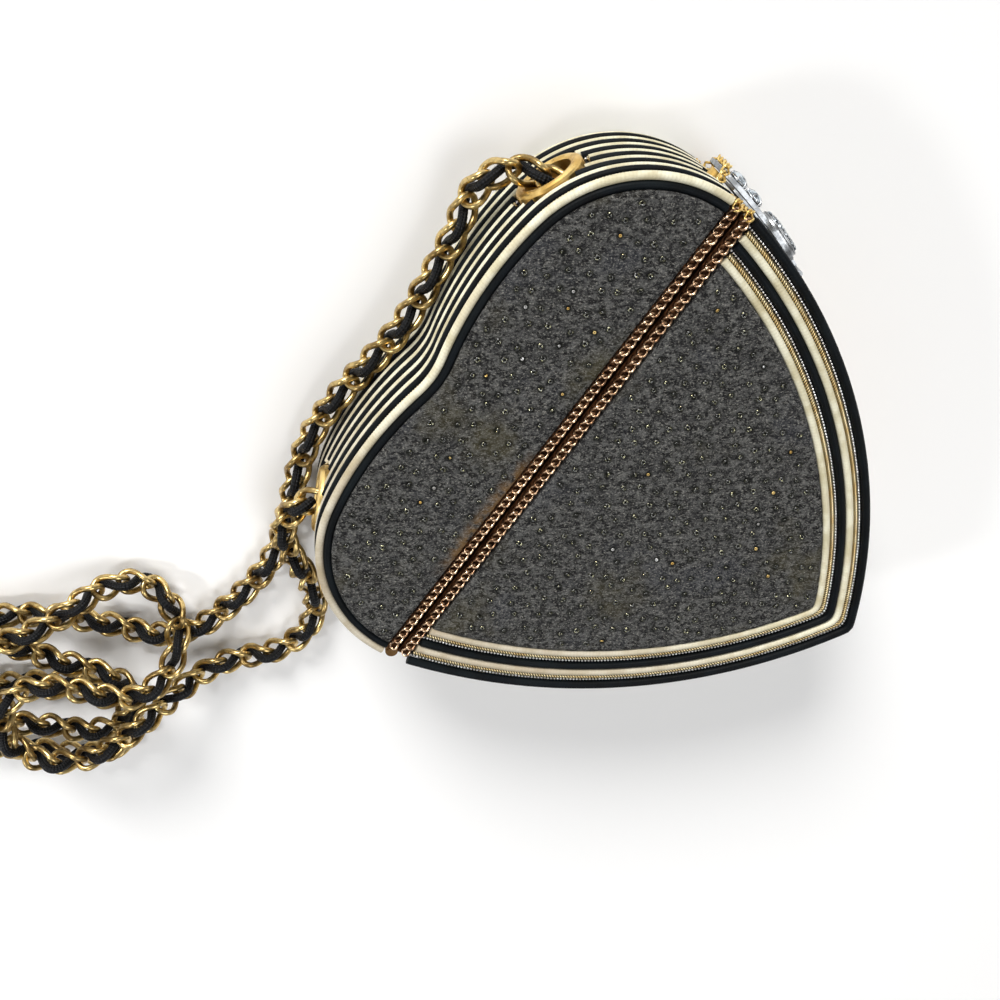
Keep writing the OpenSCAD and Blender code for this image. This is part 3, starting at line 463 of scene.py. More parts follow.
def ring_faces(n, m):
    """The faces of a closed ring that has n sections of m corners."""
    i, k = pairs(n, m)
    ii, kk = (i + 1) % n, (k + 1) % m
    return np.stack([i * m + k, ii * m + k, ii * m + kk, i * m + kk], 1)


def evenly(path, step):
    s = lengths(path)
    wanted = np.linspace(0, s[-1], max(2, int(round(s[-1] / step)) + 1))
    return np.stack([np.interp(wanted, s, path[:, k]) for k in range(3)], 1)


def tube(stock, path, radius, sides, side_way=(0.0, 0.0, 1.0), mark=0):
    """A tube along a path; radius is a number, or a function of the length along and the angle round."""
    s, line = lengths(path), unit(np.gradient(path, axis=0))
    r = radius(s[:, None], turns_of(sides)[None, :])[:, :, None] if callable(radius) else radius
    points = sections(path, line, np.broadcast_to(side_way, path.shape), r, sides)
    i, k = pairs(len(path) - 1, sides)
    n = (k + 1) % sides
    faces = np.stack([i * sides + k, i * sides + n, (i + 1) * sides + n, (i + 1) * sides + k], 1)
    u, v = s * MM, np.arange(sides + 1) / sides
    corners = ((u[i], v[k]), (u[i], v[k + 1]), (u[i + 1], v[k + 1]), (u[i + 1], v[k]))
    stock.add(points, faces, uv=np.stack([np.stack(pair, 1) for pair in corners], 1), mark=mark)
    a, centre = np.arange(sides), np.full(sides, sides)
    b = (a + 1) % sides
    stock.add(np.vstack([points[:sides], path[0]]), np.stack([b, a, centre], 1), mark=mark)
    stock.add(np.vstack([points[-sides:], path[-1]]), np.stack([a, b, centre], 1), mark=mark)


def ball(rings=4, sides=8):
    """A small round bead of radius 1."""
    turn = turns_of(sides)
    tilts = -math.pi / 2 + math.pi * np.arange(1, rings) / rings
    rows = [np.stack([np.cos(turn) * math.cos(t), np.sin(turn) * math.cos(t), np.full(sides, math.sin(t))], 1)
            for t in tilts]
    points = np.vstack([[0, 0, -1.0], *rows, [0, 0, 1.0]])
    a, b = np.arange(sides), (np.arange(sides) + 1) % sides
    starts = [1 + j * sides for j in range(rings - 1)]
    quads = [np.stack([j + a, j + b, k + b, k + a], 1) for j, k in zip(starts, starts[1:])]
    foot = np.stack([np.zeros(sides, int), 1 + b, 1 + a], 1)
    top = np.stack([np.full(sides, len(points) - 1), starts[-1] + a, starts[-1] + b], 1)
    return points, np.vstack(quads), np.vstack([foot, top])


def copies(stock, shape, turns, places, mark=0):
    """Sets a copy of shape (points, then face arrays) at each place, turned by its 3 by 3 matrix."""
    points, *face_sets = shape
    moved = np.einsum("nij,pj->npi", turns, points) + places[:, None]
    offset = (np.arange(len(places)) * len(points))[:, None, None]
    sets = [(faces[None] + offset).reshape(-1, faces.shape[1]) for faces in face_sets]
    stock.add(moved.reshape(-1, 3), *sets, mark=mark)


# ---------------------------------------------------------------- the heart's outline
def arc(centre, r, a, b, step=1.3):
    n = max(2, int(abs(math.radians(b - a)) * abs(r) / step) + 1)
    t = np.radians(np.linspace(a, b, n))
    return centre + r * np.stack([np.cos(t), np.sin(t)], 1)


def joined(parts):
    return np.vstack([parts[0]] + [part[1:] for part in parts[1:]])


def lid_line(t, clasp_y, hinge_y):
    """The lid's outline drawn in by t, from the clasp's end round both lobes to the hinge's end."""
    def half(y0):
        start = math.degrees(math.asin(y0 / (LOBE_R - t)))
        return joined([arc(LOBE_C, LOBE_R - t, start, SHOULDER_START),
                       arc(SHOULDER_C, SHOULDER_R - t, SHOULDER_START, 90 + CLEFT_TURN),
                       arc(CLEFT_C, CLEFT_R + t, CLEFT_TURN - 90, -90)])
    return joined([half(clasp_y), (half(hinge_y) * [-1, 1])[::-1]])


def pocket_line(t, clasp_y, hinge_y):
    """The pocket's outline drawn in by t, from the clasp's end round the point to the hinge's end."""
    def half(y0):
        start = math.degrees(math.asin((y0 - SIDE_C[1]) / (SIDE_R - t)))
        if t < SHARP_T:
            side = arc(SIDE_C, SIDE_R - t, start, SIDE_END)
            return joined([side, arc(TIP_C, TIP_R - t, SIDE_END, -90, 0.5)])
        stop = -math.degrees(math.acos(-SIDE_C[0] / (SIDE_R - t)))
        return arc(SIDE_C, SIDE_R - t, start, stop)
    line = joined([half(clasp_y), (half(hinge_y) * [-1, 1])[::-1]])
    near_tip = np.abs(line[:, 0]) < 5
    for _ in range(3 if t >= SHARP_T else 0):
        eased = line.copy()
        eased[1:-1] = (line[:-2] + 2 * line[1:-1] + line[2:]) / 4
        line = np.where(near_tip[:, None], eased, line)
    return line


def raised(line, z):
    return np.hstack([line, np.full((len(line), 1), z)])


def side_angle(y):
    return math.asin((y - SIDE_C[1]) / SIDE_R)


def by_eyelets(points, room):
    """Which points are within room of an eyelet's axis, on its own side of the lid."""
    hit = np.zeros(len(points), bool)
    angle = math.radians(EYELET_AT)
    for sign in (1, -1):
        way = np.array([sign * math.cos(angle), math.sin(angle)])
        from_lobe = points[:, :2] - LOBE_C * [sign, 1]
        off = np.hypot(from_lobe[:, 0] * way[1] - from_lobe[:, 1] * way[0], points[:, 2] - MID_Z)
        hit |= (off < room) & (from_lobe @ way > 0)
    return hit


def off_fittings(path, r):
    """What is left of a wall cord of the lid beside the eyelets' flanges and the keeper."""
    a = side_angle(KEEPER_Y)
    from_side = path[:, :2] - SIDE_C
    off = np.hypot(from_side[:, 0] * math.sin(a) - from_side[:, 1] * math.cos(a), path[:, 2] - MID_Z)
    by_keeper = (off < MAGNET_D / 2 + 0.3 + r) & (path[:, 0] > 0)
    keep = ~(by_eyelets(path, EYELET_OD / 2 + 0.1 + r) | by_keeper)
    runs, start = [], None
    for i, here in enumerate([*keep, False]):
        if here and start is None:
            start = i
        if not here and start is not None:
            runs += [path[start:i]] if i - start > 3 else []
            start = None
    return runs


# ---------------------------------------------------------------- trims
def twisted(r):
    """The outline of a twisted rope's section, which turns once in each lay."""
    def radius(s, turn):
        part = FULL_TURN / STRANDS
        off = (turn - FULL_TURN * s / LAY) % part - part / 2
        return r * np.maximum(np.cos(off), 0.55)
    return radius


def lay_satin(stock, path, r):
    tube(stock, evenly(path, 1.6), r, 14)


def lay_rope(stock, path, r):
    tube(stock, evenly(path, 0.21), twisted(r * 1.12), 12)


BEAD = ball()


def lay_beads(stock, path, r):
    """Round beads a little apart on their thread."""
    path = evenly(path, 1.02)
    copies(stock, (BEAD[0] * r * 0.92, *BEAD[1:]), np.tile(np.eye(3), (len(path), 1, 1)), path)
    tube(stock, evenly(path, 1.6), r * 0.45, 6, mark=1)


LAYERS = {"cream": lay_satin, "black": lay_satin, "silver": lay_beads, "gold": lay_rope}
FINISHES = {"cream": CREAM, "black": BLACK, "silver": [SILVER, BLACK], "gold": BRAID}
DOWN = {"silver": (SILVER_R, SILVER_DOWN), "gold": (GOLD_R, GOLD_DOWN), "black": (BLACK_R, BLACK_DOWN)}


def wall_lines(kind):
    """Each of the wall's cords of one kind: radius, inset and height."""
    if kind == "cream":
        return [(CREAM_R, COVER - GAP - CREAM_R, CORNER_Z - i * PITCH) for i in range(1, GROUPS)]
    r, down = DOWN[kind]
    return [(r, COVER - GAP - r, CORNER_Z - i * PITCH - down) for i in range(GROUPS)]


def both_faces(r, t, z):
    return [(r, t, z), (r, t, DEPTH - z)]


def make_wall_cords():
    for kind, lay in LAYERS.items():
        stock = Stock()
        for r, t, z in wall_lines(kind):
            line = evenly(raised(lid_line(t, LID_TRIM, LID_LEAF_TRIM), z), 0.6)
            for run in off_fittings(line, r):
                lay(stock, run, r)
        if kind == "cream":
            for r, t, z in both_faces(CREAM_R, COVER - CREAM_OFF, CORNER_Z):
                lay(stock, raised(lid_line(t, LID_TRIM, LID_TRIM), z), r)
        stock.piece(f"lid_{kind}_trim", FINISHES[kind], "lid", f"lid_{kind}_cords")
        stock = Stock()
        for r, t, z in wall_lines(kind):
            lay(stock, raised(pocket_line(t, POCKET_TRIM, POCKET_LEAF_TRIM), z), r)
        if kind == "black":
            for r, t, z in both_faces(CORNER_R, CORNER_T, FRONT_Z + CORNER_OFF):
                lay(stock, raised(pocket_line(t, POCKET_TRIM, POCKET_TRIM), z), r)
        finish = AGED if kind == "cream" else FINISHES[kind]
        stock.piece(f"pocket_{kind}_trim", finish, "pocket", f"pocket_{kind}_cords")


def face_insets():
    insets = [CORNER_T + CORNER_R + GAP + FACE_R[0]]
    for a, b in zip(FACE_R, FACE_R[1:]):
        insets.append(insets[-1] + a + GAP + b)
    return insets


def make_face_cords():
    insets = face_insets()
    for kind, which in (("silver", (0, 4)), ("gold", (1, 5)), ("cream", (2, 6)), ("black", (3,))):
        stock = Stock()
        for i in which:
            for r, t, z in both_faces(FACE_R[i], insets[i], FRONT_Z + FACE_R[i] + GAP):
                LAYERS[kind](stock, raised(pocket_line(t, POCKET_TRIM, POCKET_TRIM), z), r)
        stock.piece(f"face_{kind}_trim", FINISHES[kind], "pocket", f"face_{kind}_cords")


def make_piping():
    stock = Stock()
    t = COVER - CREAM_OFF + CREAM_R + GAP + PIPING_R
    for r, t, z in both_faces(PIPING_R, t, FRONT_Z + PIPING_R + GAP):
        lay_satin(stock, raised(lid_line(t, LID_TRIM, LID_TRIM), z), r)
    stock.piece("lid_black_piping", BLACK, "lid", "lid_piping")


# ---------------------------------------------------------------- felts and their beads
def distance_to(points, line, block=4000):
    """Shortest distance from each point to a line's many points."""
    found = []
    for i in range(0, len(points), block):
        part = points[i:i + block]
        found.append(np.sqrt(((part[:, None] - line[None]) ** 2).sum(2)).min(1))
    return np.concatenate(found)


def closed_outline(line, seam_y, step=1.1):
    """A half's outline, closed along the seam."""
    base = evenly(raised(line[[-1, 0]], 0.0), step)[1:-1, :2]
    base[:, 1] = seam_y
    return np.vstack([line, base])


def inside(points, outline):
    x, y = points[:, 0], points[:, 1]
    hit = np.zeros(len(points), bool)
    a, b = outline, np.roll(outline, -1, 0)
    for (x0, y0), (x1, y1) in zip(a, b):
        if y0 != y1:
            hit ^= ((y0 > y) != (y1 > y)) & (x < (x1 - x0) * (y - y0) / (y1 - y0) + x0)
    return hit


def hex_points(low, high, pitch, jitter, rng):
    rows = int((high[1] - low[1]) / (pitch * 0.866)) + 2
    cols = int((high[0] - low[0]) / pitch) + 2
    i, j = np.meshgrid(np.arange(cols), np.arange(rows), indexing="ij")
    points = np.stack([low[0] + (i + 0.5 * (j % 2)) * pitch, low[1] + j * pitch * 0.866], 2).reshape(-1, 2)
    return points + rng.uniform(-jitter, jitter, points.shape)


def scattered(outline, pitch, jitter, edge, rng):
    """Points on a loose net inside an outline, no nearer to it than edge."""
    points = hex_points(outline.min(0), outline.max(0), pitch, jitter, rng)
    points = points[inside(points, outline)]
    return points[distance_to(points, outline) > edge]


def filled(flat, rim):
    """Triangles that fill an outline, the first rim of the points, and take in all the others."""
    edges = [(i, (i + 1) % rim) for i in range(rim)]
    points, _, faces, *_ = delaunay_2d_cdt([Vector(p) for p in flat], edges, [], 1, 1e-5)
    return np.array([tuple(p) for p in points]), np.array([list(f) for f in faces])


def wound(points, faces, up):
    """The faces with their corners in order, so that all of them look up, or down."""
    a, b, c = (points[faces[:, k], :2] for k in range(3))
    flip = (np.cross(b - a, c - a) < 0)[:, None] == up
    return np.where(flip, faces[:, ::-1], faces)


def soft_hills(points, rng, size, count=14):
    """Slow, irregular rises and falls between -1 and 1."""
    total = np.zeros(len(points))
    for _ in range(count):
        way = rng.uniform(0, FULL_TURN)
        wave = np.array([math.cos(way), math.sin(way)]) * FULL_TURN / (size * rng.uniform(0.6, 1.8))
        total += np.sin(points @ wave + rng.uniform(0, FULL_TURN))
    return total / count * 1.6


def seed_bead(n=10, m=6):
    """A small ring bead of outer radius 1, lying flat."""
    big, small = 0.62, 0.38
    a, b = np.meshgrid(turns_of(n), turns_of(m), indexing="ij")
    reach = big + small * np.cos(b)
    points = np.stack([reach * np.cos(a), reach * np.sin(a), small * np.sin(b)], 2)
    return points.reshape(-1, 3), ring_faces(n, m)


def random_turns(count, tilt, rng):
    turns = np.empty((count, 3, 3))
    for n in range(count):
        yaw, lean, way = rng.uniform(0, FULL_TURN), rng.normal(0, tilt), rng.uniform(0, FULL_TURN)
        axis = Vector((math.cos(way), math.sin(way), 0))
        turns[n] = np.array(Matrix.Rotation(lean, 3, axis) @ Matrix.Rotation(yaw, 3, "Z"))
    return turns


FELT_T, EDGE_ROLL, DIMPLE, DIMPLE_R = 2.4, 1.5, 0.42, 1.2
# Pitch, scatter and least distance to the edge: of the beads, and of the felt's own corners
BEAD_NET, FELT_NET = (5.6, 1.35, 2.6), (0.82, 0.12, 2.2)
EDGE_STEPS = (0.22, 0.6, 1.1, 1.7)


def felt_heights(flat, outline, bead_at, rng):
    """How high the felt stands over its board, and how deep each of its corners lies in a dimple."""
    closed = raised(np.vstack([outline, outline[:1]]), 0.0)
    off = np.minimum(distance_to(flat, evenly(closed, 0.25)[:, :2]), EDGE_ROLL)
    rise = np.sqrt(np.maximum(0, 1 - (1 - off / EDGE_ROLL) ** 2))
    height = FELT_T * (0.60 + 0.40 * rise) + 0.10 * soft_hills(flat, rng, 17.0) * rise
    near = np.sqrt(((flat[:, None] - bead_at[None]) ** 2).sum(2))
    pit = np.exp(-((near / DIMPLE_R) ** 2)).sum(1)
    height -= DIMPLE * pit * rise
    height += rng.normal(0, 0.028, len(flat)) * rise
    return np.minimum(height, FELT_T), pit


def make_felt(half, face, line_at, felt_t, trim, inward, seed):
    """One padded felt face with its sewn dimples, and the beads that sit in them."""
    rng = np.random.default_rng(seed)
    front = face == "front"
    board = FRONT_Z if front else DEPTH - FRONT_Z
    outline = closed_outline(line_at(felt_t, trim, trim), trim)
    bead_at = scattered(outline, *BEAD_NET, rng)
    rings = [outline]
    for depth in EDGE_STEPS:
        seam = trim + inward * depth
        rings.append(closed_outline(line_at(felt_t + depth, seam, seam), seam))
    flat, faces = filled(np.vstack(rings + [scattered(outline, *FELT_NET, rng)]), len(outline))
    height, pit = felt_heights(flat, outline, bead_at, rng)
    top = np.hstack([flat, (board + height if front else board - height)[:, None]])
    faces = wound(top, faces, front)
    loop = boundary_loop(faces)
    stock = Stock()
    stock.add(top, faces)
    a, n = np.arange(len(loop)), len(loop)
    b = (a + 1) % n
    foot = raised(top[loop, :2], board)
    stock.add(np.vstack([top[loop], foot]), np.stack([b, a, a + n, b + n], 1))
    sole, faces = filled(foot[:, :2], n)
    stock.add(raised(sole, board), wound(sole, faces, not front))
    made = stock.piece(f"{half}_{face}_padded_felt", FELT, half, f"{half}_{face}_felt")
    # How near each corner lies to a dimple, which the felt's finish turns into painted shade
    shade = made.data.attributes.new("dimple", "FLOAT", "POINT")
    rest = np.zeros(len(made.data.vertices) - len(pit))
    shade.data.foreach_set("value", np.concatenate([pit, rest]).astype(np.float32))
    make_beads(f"{half}_{face}_seed_beads", half, bead_at, front, rng)


def boundary_loop(faces):
    """The outer edge of a sheet of triangles, in order."""
    sides = np.vstack([faces[:, [0, 1]], faces[:, [1, 2]], faces[:, [2, 0]]])
    known = {tuple(s) for s in sides.tolist()}
    onward = {a: b for a, b in known if (b, a) not in known}
    start = next(iter(onward))
    loop, here = [start], onward[start]
    while here != start:
        loop.append(here)
        here = onward[here]
    return np.array(loop)


# The sewn beads' finishes, with the share of each and the least and greatest radius
BEAD_KINDS = [(JET, 0.95, 0.70, 1.05), (SILVER, 0.02, 0.40, 0.60), (GILT, 0.03, 0.40, 0.65)]


def make_beads(name, half, places, front, rng):
    stock = Stock()
    shape = seed_bead()
    finishes, shares, least, most = zip(*BEAD_KINDS)
    which = rng.choice(len(shares), len(places), p=shares)
    lift = FELT_T - DIMPLE + 0.10
    z = FRONT_Z + lift if front else DEPTH - FRONT_Z - lift
    for mark in range(len(shares)):
        at = raised(places[which == mark], z)
        turns = random_turns(len(at), 0.45, rng)
        sizes = rng.uniform(least[mark], most[mark], len(at))
        copies(stock, shape, turns * sizes[:, None, None], at, mark)
    stock.piece(name, list(finishes), half)


# ---------------------------------------------------------------- curb chains
LINK_TWIST = math.radians(38)


def curb_link(length, width, wire, steps, sides):
    """A link bent from round wire and twisted so that a chain of them lies flat."""
    rad, run = (width - wire) / 2, (length - width) / 2
    bend = math.pi * rad
    edge = 2 * run + bend
    points, outward = [], []
    for d in np.linspace(0, 2 * edge, steps, endpoint=False):
        flip, d = -1 if d >= edge else 1, d % edge
        if d < run:
            p, o = (d, rad), (0, 1)
        elif d < run + bend:
            a = math.pi / 2 - (d - run) / rad
            p, o = (run + rad * math.cos(a), rad * math.sin(a)), (math.cos(a), math.sin(a))
        else:
            p, o = (run - (d - run - bend), -rad), (0, -1)
        points.append((flip * p[0], flip * p[1], 0))
        outward.append((flip * o[0], flip * o[1], 0))
    points, outward = np.array(points), np.array(outward)
    angle = LINK_TWIST * np.sin(np.clip(points[:, 0] / (run + rad * 0.6), -1, 1) * math.pi / 2)
    c, s = np.cos(angle), np.sin(angle)

    def wrung(v):
        return np.stack([v[:, 0], v[:, 1] * c - v[:, 2] * s, v[:, 1] * s + v[:, 2] * c], 1)
    path = wrung(points)
    line = unit(np.roll(path, -1, 0) - np.roll(path, 1, 0))
    return sections(path, line, wrung(outward), wire / 2, sides), ring_faces(steps, sides)[:, [0, 3, 2, 1]]


def chain_frames(stops, side_way):
    """Where each link of a chain lies between one stop and the next, and its turn."""
    line = unit(np.diff(stops, axis=0))
    side = square_to(line, np.broadcast_to(side_way, line.shape))
    return np.stack([line, side, np.cross(line, side)], 2), (stops[1:] + stops[:-1]) / 2


# Where the side's arc meets the lobe's, in degrees on the side's arc
JOIN_ANGLE = -10.647
SEAM_LINK, SEAM_PITCH, SEAM_WIRE, SEAM_WID = 4.2, 2.6, 0.7, 2.9
PIN_X, RIM_LEN, CLASP_WID = -82.2, 3.4, 13.0
LID_EDGE, POCKET_EDGE = -3.5, -4.5
CHAIN_RISE = (SEAM_WID - SEAM_WIRE) / 2 * math.sin(math.radians(35)) + SEAM_WIRE / 2 + GAP
CORNER_UP = (CHAIN_RISE + SEAM_PITCH / 2) / math.sqrt(2)
CORNER_IN = (SEAM_PITCH / 2 - CHAIN_RISE) / math.sqrt(2)
CORNER_RUN = CORNER_IN + math.sqrt(SEAM_PITCH ** 2 - (CORNER_UP - CHAIN_RISE) ** 2)


def wall_x(y):
    """Where the board's wall stands on the clasp's side, at this height."""
    if y > SIDE_C[1] + SIDE_R * math.sin(math.radians(JOIN_ANGLE)):
        return LOBE_C[0] + math.sqrt((LOBE_R - COVER) ** 2 - y * y)
    return SIDE_C[0] + math.sqrt((SIDE_R - COVER) ** 2 - (y - SIDE_C[1]) ** 2)


def seam_stops(y, edge):
    """The joints of a seam chain: over the face, across the corner and down the wall."""
    over = 1 + int((edge - CORNER_RUN - PIN_X - SEAM_PITCH / 2) / SEAM_PITCH)
    down = 1 + int((FRONT_Z - CORNER_RUN - MID_Z - (CLASP_WID + SEAM_WID) / 2) / SEAM_PITCH)
    steps = [(CORNER_IN, CORNER_UP)] + [(CORNER_RUN + k * SEAM_PITCH, CHAIN_RISE) for k in range(over)]
    front = [(edge - run, y, FRONT_Z + up) for run, up in reversed(steps)]
    side = [(edge + up, y, FRONT_Z - run) for run, up in steps[:down + 1]]
    return np.array(front + side)


def make_seam_chains():
    shape = curb_link(SEAM_LINK, SEAM_WID, SEAM_WIRE, 20, 6)
    for half, y, edge in (("lid", LID_EDGE + RIM_LEN / 2, wall_x(LID_EDGE + RIM_LEN)),
                          ("pocket", POCKET_EDGE - RIM_LEN / 2, wall_x(POCKET_EDGE))):
        for face in ("front", "rear"):
            stops = seam_stops(y, edge)
            if face == "rear":
                stops = stops * [1, 1, -1] + [0, 0, DEPTH]
            turns, places = chain_frames(stops, (0.0, 1.0, 0.0))
            stock = Stock()
            # Links past the corner, on the wall, take the brighter copy of the curb: painted light
            on_wall = places[:, 0] > edge - 0.4
            for mark, part in enumerate((~on_wall, on_wall)):
                copies(stock, shape, turns[part], places[part], mark)
            stock.piece(f"{half}_{face}_curb", [CURB, CURB_PAINTED_LIGHT], half, f"{half}_{face}_chain")


# ---------------------------------------------------------------- strap
# The strap's route from the right eyelet's bar to the left one's, in metres, before it is set over the origin
ROUTE = [
    (.0566, .022, .023), (.0566, .03, .023), (.0564, .038, .023), (.054, .0452, .0218), (.0482, .0496, .02),
    (.041, .0505, .0183), (.033, .048, .017), (.024, .0465, .0165), (.012, .0452, .016), (0, .0442, .015),
    (-.012, .045, .014), (-.025, .0465, .012), (-.037, .047, .01), (-.049, .046, .008), (-.06, .043, .007),
    (-.071, .039, .006), (-.082, .035, .005), (-.093, .033, .005), (-.104, .0335, .005),
    (-.116, .036, .005), (-.128, .04, .005), (-.137, .05, .005), (-.14, .062, .005), (-.144, .074, .005),
    (-.15, .087, .005), (-.158, .098, .005), (-.168, .108, .005), (-.179, .114, .005), (-.192, .113, .005),
    (-.203, .105, .005), (-.209, .093, .005), (-.208, .08, .005), (-.202, .068, .005), (-.197, .056, .005),
    (-.192, .045, .005), (-.183, .038, .005), (-.173, .039, .005), (-.166, .047, .005), (-.166, .058, .005),
    (-.17, .069, .005), (-.177, .079, .005), (-.184, .089, .005), (-.1855, .097, .0065),
    (-.182, .1045, .0085), (-.1745, .108, .0105), (-.1665, .1065, .0125), (-.161, .101, .013),
    (-.1575, .0935, .0138), (-.156, .085, .0148), (-.155, .075, .0148), (-.153, .065, .0148),
    (-.152, .053, .0148), (-.159, .044, .0148), (-.17, .046, .0148), (-.177, .056, .0148),
    (-.181, .068, .0148), (-.187, .079, .0148), (-.193, .09, .0148), (-.193, .102, .0148),
    (-.184, .109, .0165), (-.172, .107, .0195), (-.161, .099, .0205), (-.151, .09, .0205),
    (-.142, .082, .017), (-.133, .077, .012), (-.126, .072, .0075), (-.1215, .065, .005),
    (-.121, .057, .0055), (-.124, .0495, .0085), (-.1305, .0445, .0128), (-.138, .0425, .0175),
    (-.1455, .045, .022), (-.151, .051, .0244), (-.1535, .061, .0246), (-.156, .07, .0246),
    (-.161, .078, .0246), (-.168, .0815, .0246), (-.176, .0805, .0246), (-.183, .0755, .0246),
    (-.186, .068, .0246), (-.185, .06, .0246), (-.181, .053, .0246), (-.175, .048, .0246),
    (-.167, .0445, .0246), (-.159, .042, .024), (-.1515, .038, .0185), (-.145, .033, .0105),
    (-.138, .029, .007), (-.131, .022, .005), (-.1235, .014, .005), (-.115, .01, .005),
    (-.1065, .0095, .005), (-.0985, .013, .006), (-.092, .019, .009), (-.087, .0255, .012),
    (-.0825, .032, .015), (-.0765, .038, .0185), (-.069, .0415, .0215), (-.0615, .0405, .023),
    (-.055, .0355, .023), (-.051, .0285, .023)]
STRAP_LINK, STRAP_WID, STRAP_WIRE, STRAP_PITCH = 12.7, 8.5, 1.9, 8.1
# The woven cord's thickness, its swing over each joint, and the turns of its plait in a millimetre
WEAVE_D, WEAVE_H, PLAIT_TURNS = 2.8, 3.6, 0.42


def strap_curve(cuts=6):
    """The smooth line through the route's points, in millimetres."""
    p = np.array(ROUTE) / MM
    points = []
    for i in range(len(p) - 1):
        a, b, c, d = p[max(i - 1, 0)], p[i], p[i + 1], p[min(i + 2, len(p) - 1)]
        for k in range(cuts + (i == len(p) - 2)):
            u = k / cuts
            bent = (2 * a - 5 * b + 4 * c - d) * u * u + (3 * b - a - 3 * c + d) * u ** 3
            points.append(0.5 * (2 * b + (c - a) * u + bent))
    return np.array(points)


CURVE = strap_curve()
CURVE_S = lengths(CURVE)
LINKS = int(round(CURVE_S[-1] / STRAP_PITCH))
STEP = CURVE_S[-1] / LINKS


def strap_at(s):
    return np.stack([np.interp(s, CURVE_S, CURVE[:, k]) for k in range(3)], -1)


def make_strap():
    stops = strap_at(np.arange(LINKS + 1) * STEP)
    turns, places = chain_frames(stops, np.cross([0.0, 0.0, 1.0], np.diff(stops, axis=0)))
    shape = curb_link(STRAP_LINK, STRAP_WID, STRAP_WIRE, 40, 12)
    half = LINKS // 2
    made = []
    for end, part in (("near", slice(0, half)), ("far", slice(half, LINKS))):
        stock = Stock()
        copies(stock, shape, turns[part], places[part])
        made.append(stock.piece(f"strap_curb_{end}", BRASS, "lid", f"strap_links_{end}"))
    return made


def make_strap_cord():
    """The cord crosses each link at its middle and passes over one joint and under the next."""
    s = np.arange(1.5 * STEP, (LINKS - 1.5) * STEP, 0.55)
    line = unit(strap_at(s + STEP / 2) - strap_at(s - STEP / 2))
    flat = unit(np.cross([0.0, 0.0, 1.0], line))
    swing = np.cos(math.pi * s / STEP)
    swing = np.sign(swing) * np.abs(swing) ** 0.7
    path = strap_at(s) + WEAVE_H * swing[:, None] * np.cross(line, flat)
    for _ in range(2):
        path[1:-1] = (path[:-2] + 2 * path[1:-1] + path[2:]) / 4
    path = evenly(path, 0.6)
    here, there = np.linspace(0, 1, len(path)), np.linspace(0, 1, len(flat))
    side = np.stack([np.interp(here, there, flat[:, k]) for k in range(3)], 1)

    def plait(along, turn):
        lay = FULL_TURN * along * PLAIT_TURNS
        return WEAVE_D / 2 * (0.98 + 0.025 * np.sin(lay + turn * 3) * np.sin(lay - turn * 3))
    stock = Stock()
    tube(stock, path, plait, 14, side)
    made = stock.piece("strap_braid", PLAIT, "lid", "strap_cord")


# ---------------------------------------------------------------- clasp
def on_side(y, rad):
    """A place on the clasp side's arc, with its turn: across the wall, along it and outward."""
    a = side_angle(y)
    out = np.array([math.cos(a), math.sin(a), 0])
    at = np.array([SIDE_C[0], SIDE_C[1], MID_Z]) + rad * out
    return at, np.stack([[0, 0, -1.0], [-math.sin(a), math.cos(a), 0], out], 1)


def brilliant(d, h, sides=8):
    """A round cut stone: a table, two rows of crown facets, a girdle and the start of its pavilion."""
    r, n2 = d / 2, 2 * sides

    def ring(share, z, n, shift=0.0):
        a = turns_of(n, shift)
        return np.stack([r * share * np.cos(a), r * share * np.sin(a), np.full(n, z)], 1)
    rows = [ring(0.55, h, sides), ring(0.80, h * 0.80, sides, 0.5), ring(1, h * 0.42, n2),
            ring(1, h * 0.34, n2), ring(0.72, 0, n2)]
    points = np.vstack(rows + [[[0, 0, h]], [[0, 0, 0]]])
    crown, top, low, sole = sides, n2, 4 * sides, 6 * sides
    tip, foot = len(points) - 2, len(points) - 1
    tris = []
    for k in range(sides):
        n, c = (k + 1) % sides, crown + k
        g, g1, g2 = [top + (2 * k + j) % n2 for j in range(3)]
        tris += [(tip, k, n), (k, c, n), (k, g, c), (c, g, g1), (c, g1, g2), (c, g2, n)]
    for k in range(n2):
        n = (k + 1) % n2
        tris += [(top + k, low + k, top + n), (top + n, low + k, low + n)]
        tris += [(low + k, sole + k, low + n), (low + n, sole + k, sole + n), (sole + k, foot, sole + n)]
    return points, np.array(tris)


# The flap's outer face as a radius of the side's arc, and where the stones sit along the wall
FLAP_OUT, STONE_YS, OVAL_Y, NECK_Y = 168.45, (-6.0, -12.6), -25.1, 0.3
STONE_D, PAVE_LEN, PAVE_WID, PLATE_H = 5.6, 15.0, 11.0, 0.9
CLAW = ((0.52, 0.1), (0.535, 0.7), (0.52, 1.15), (0.46, 1.45))
# The oval's edge and dome, as shares of its outline and heights over the plate's edge
DOME_STEPS = ((1.0, -PLATE_H), (1.0, -0.225), (0.97, -0.018), (0.88, 0.42), (0.7, 0.68), (0.4, 0.90),
              (0.0, 1.0))


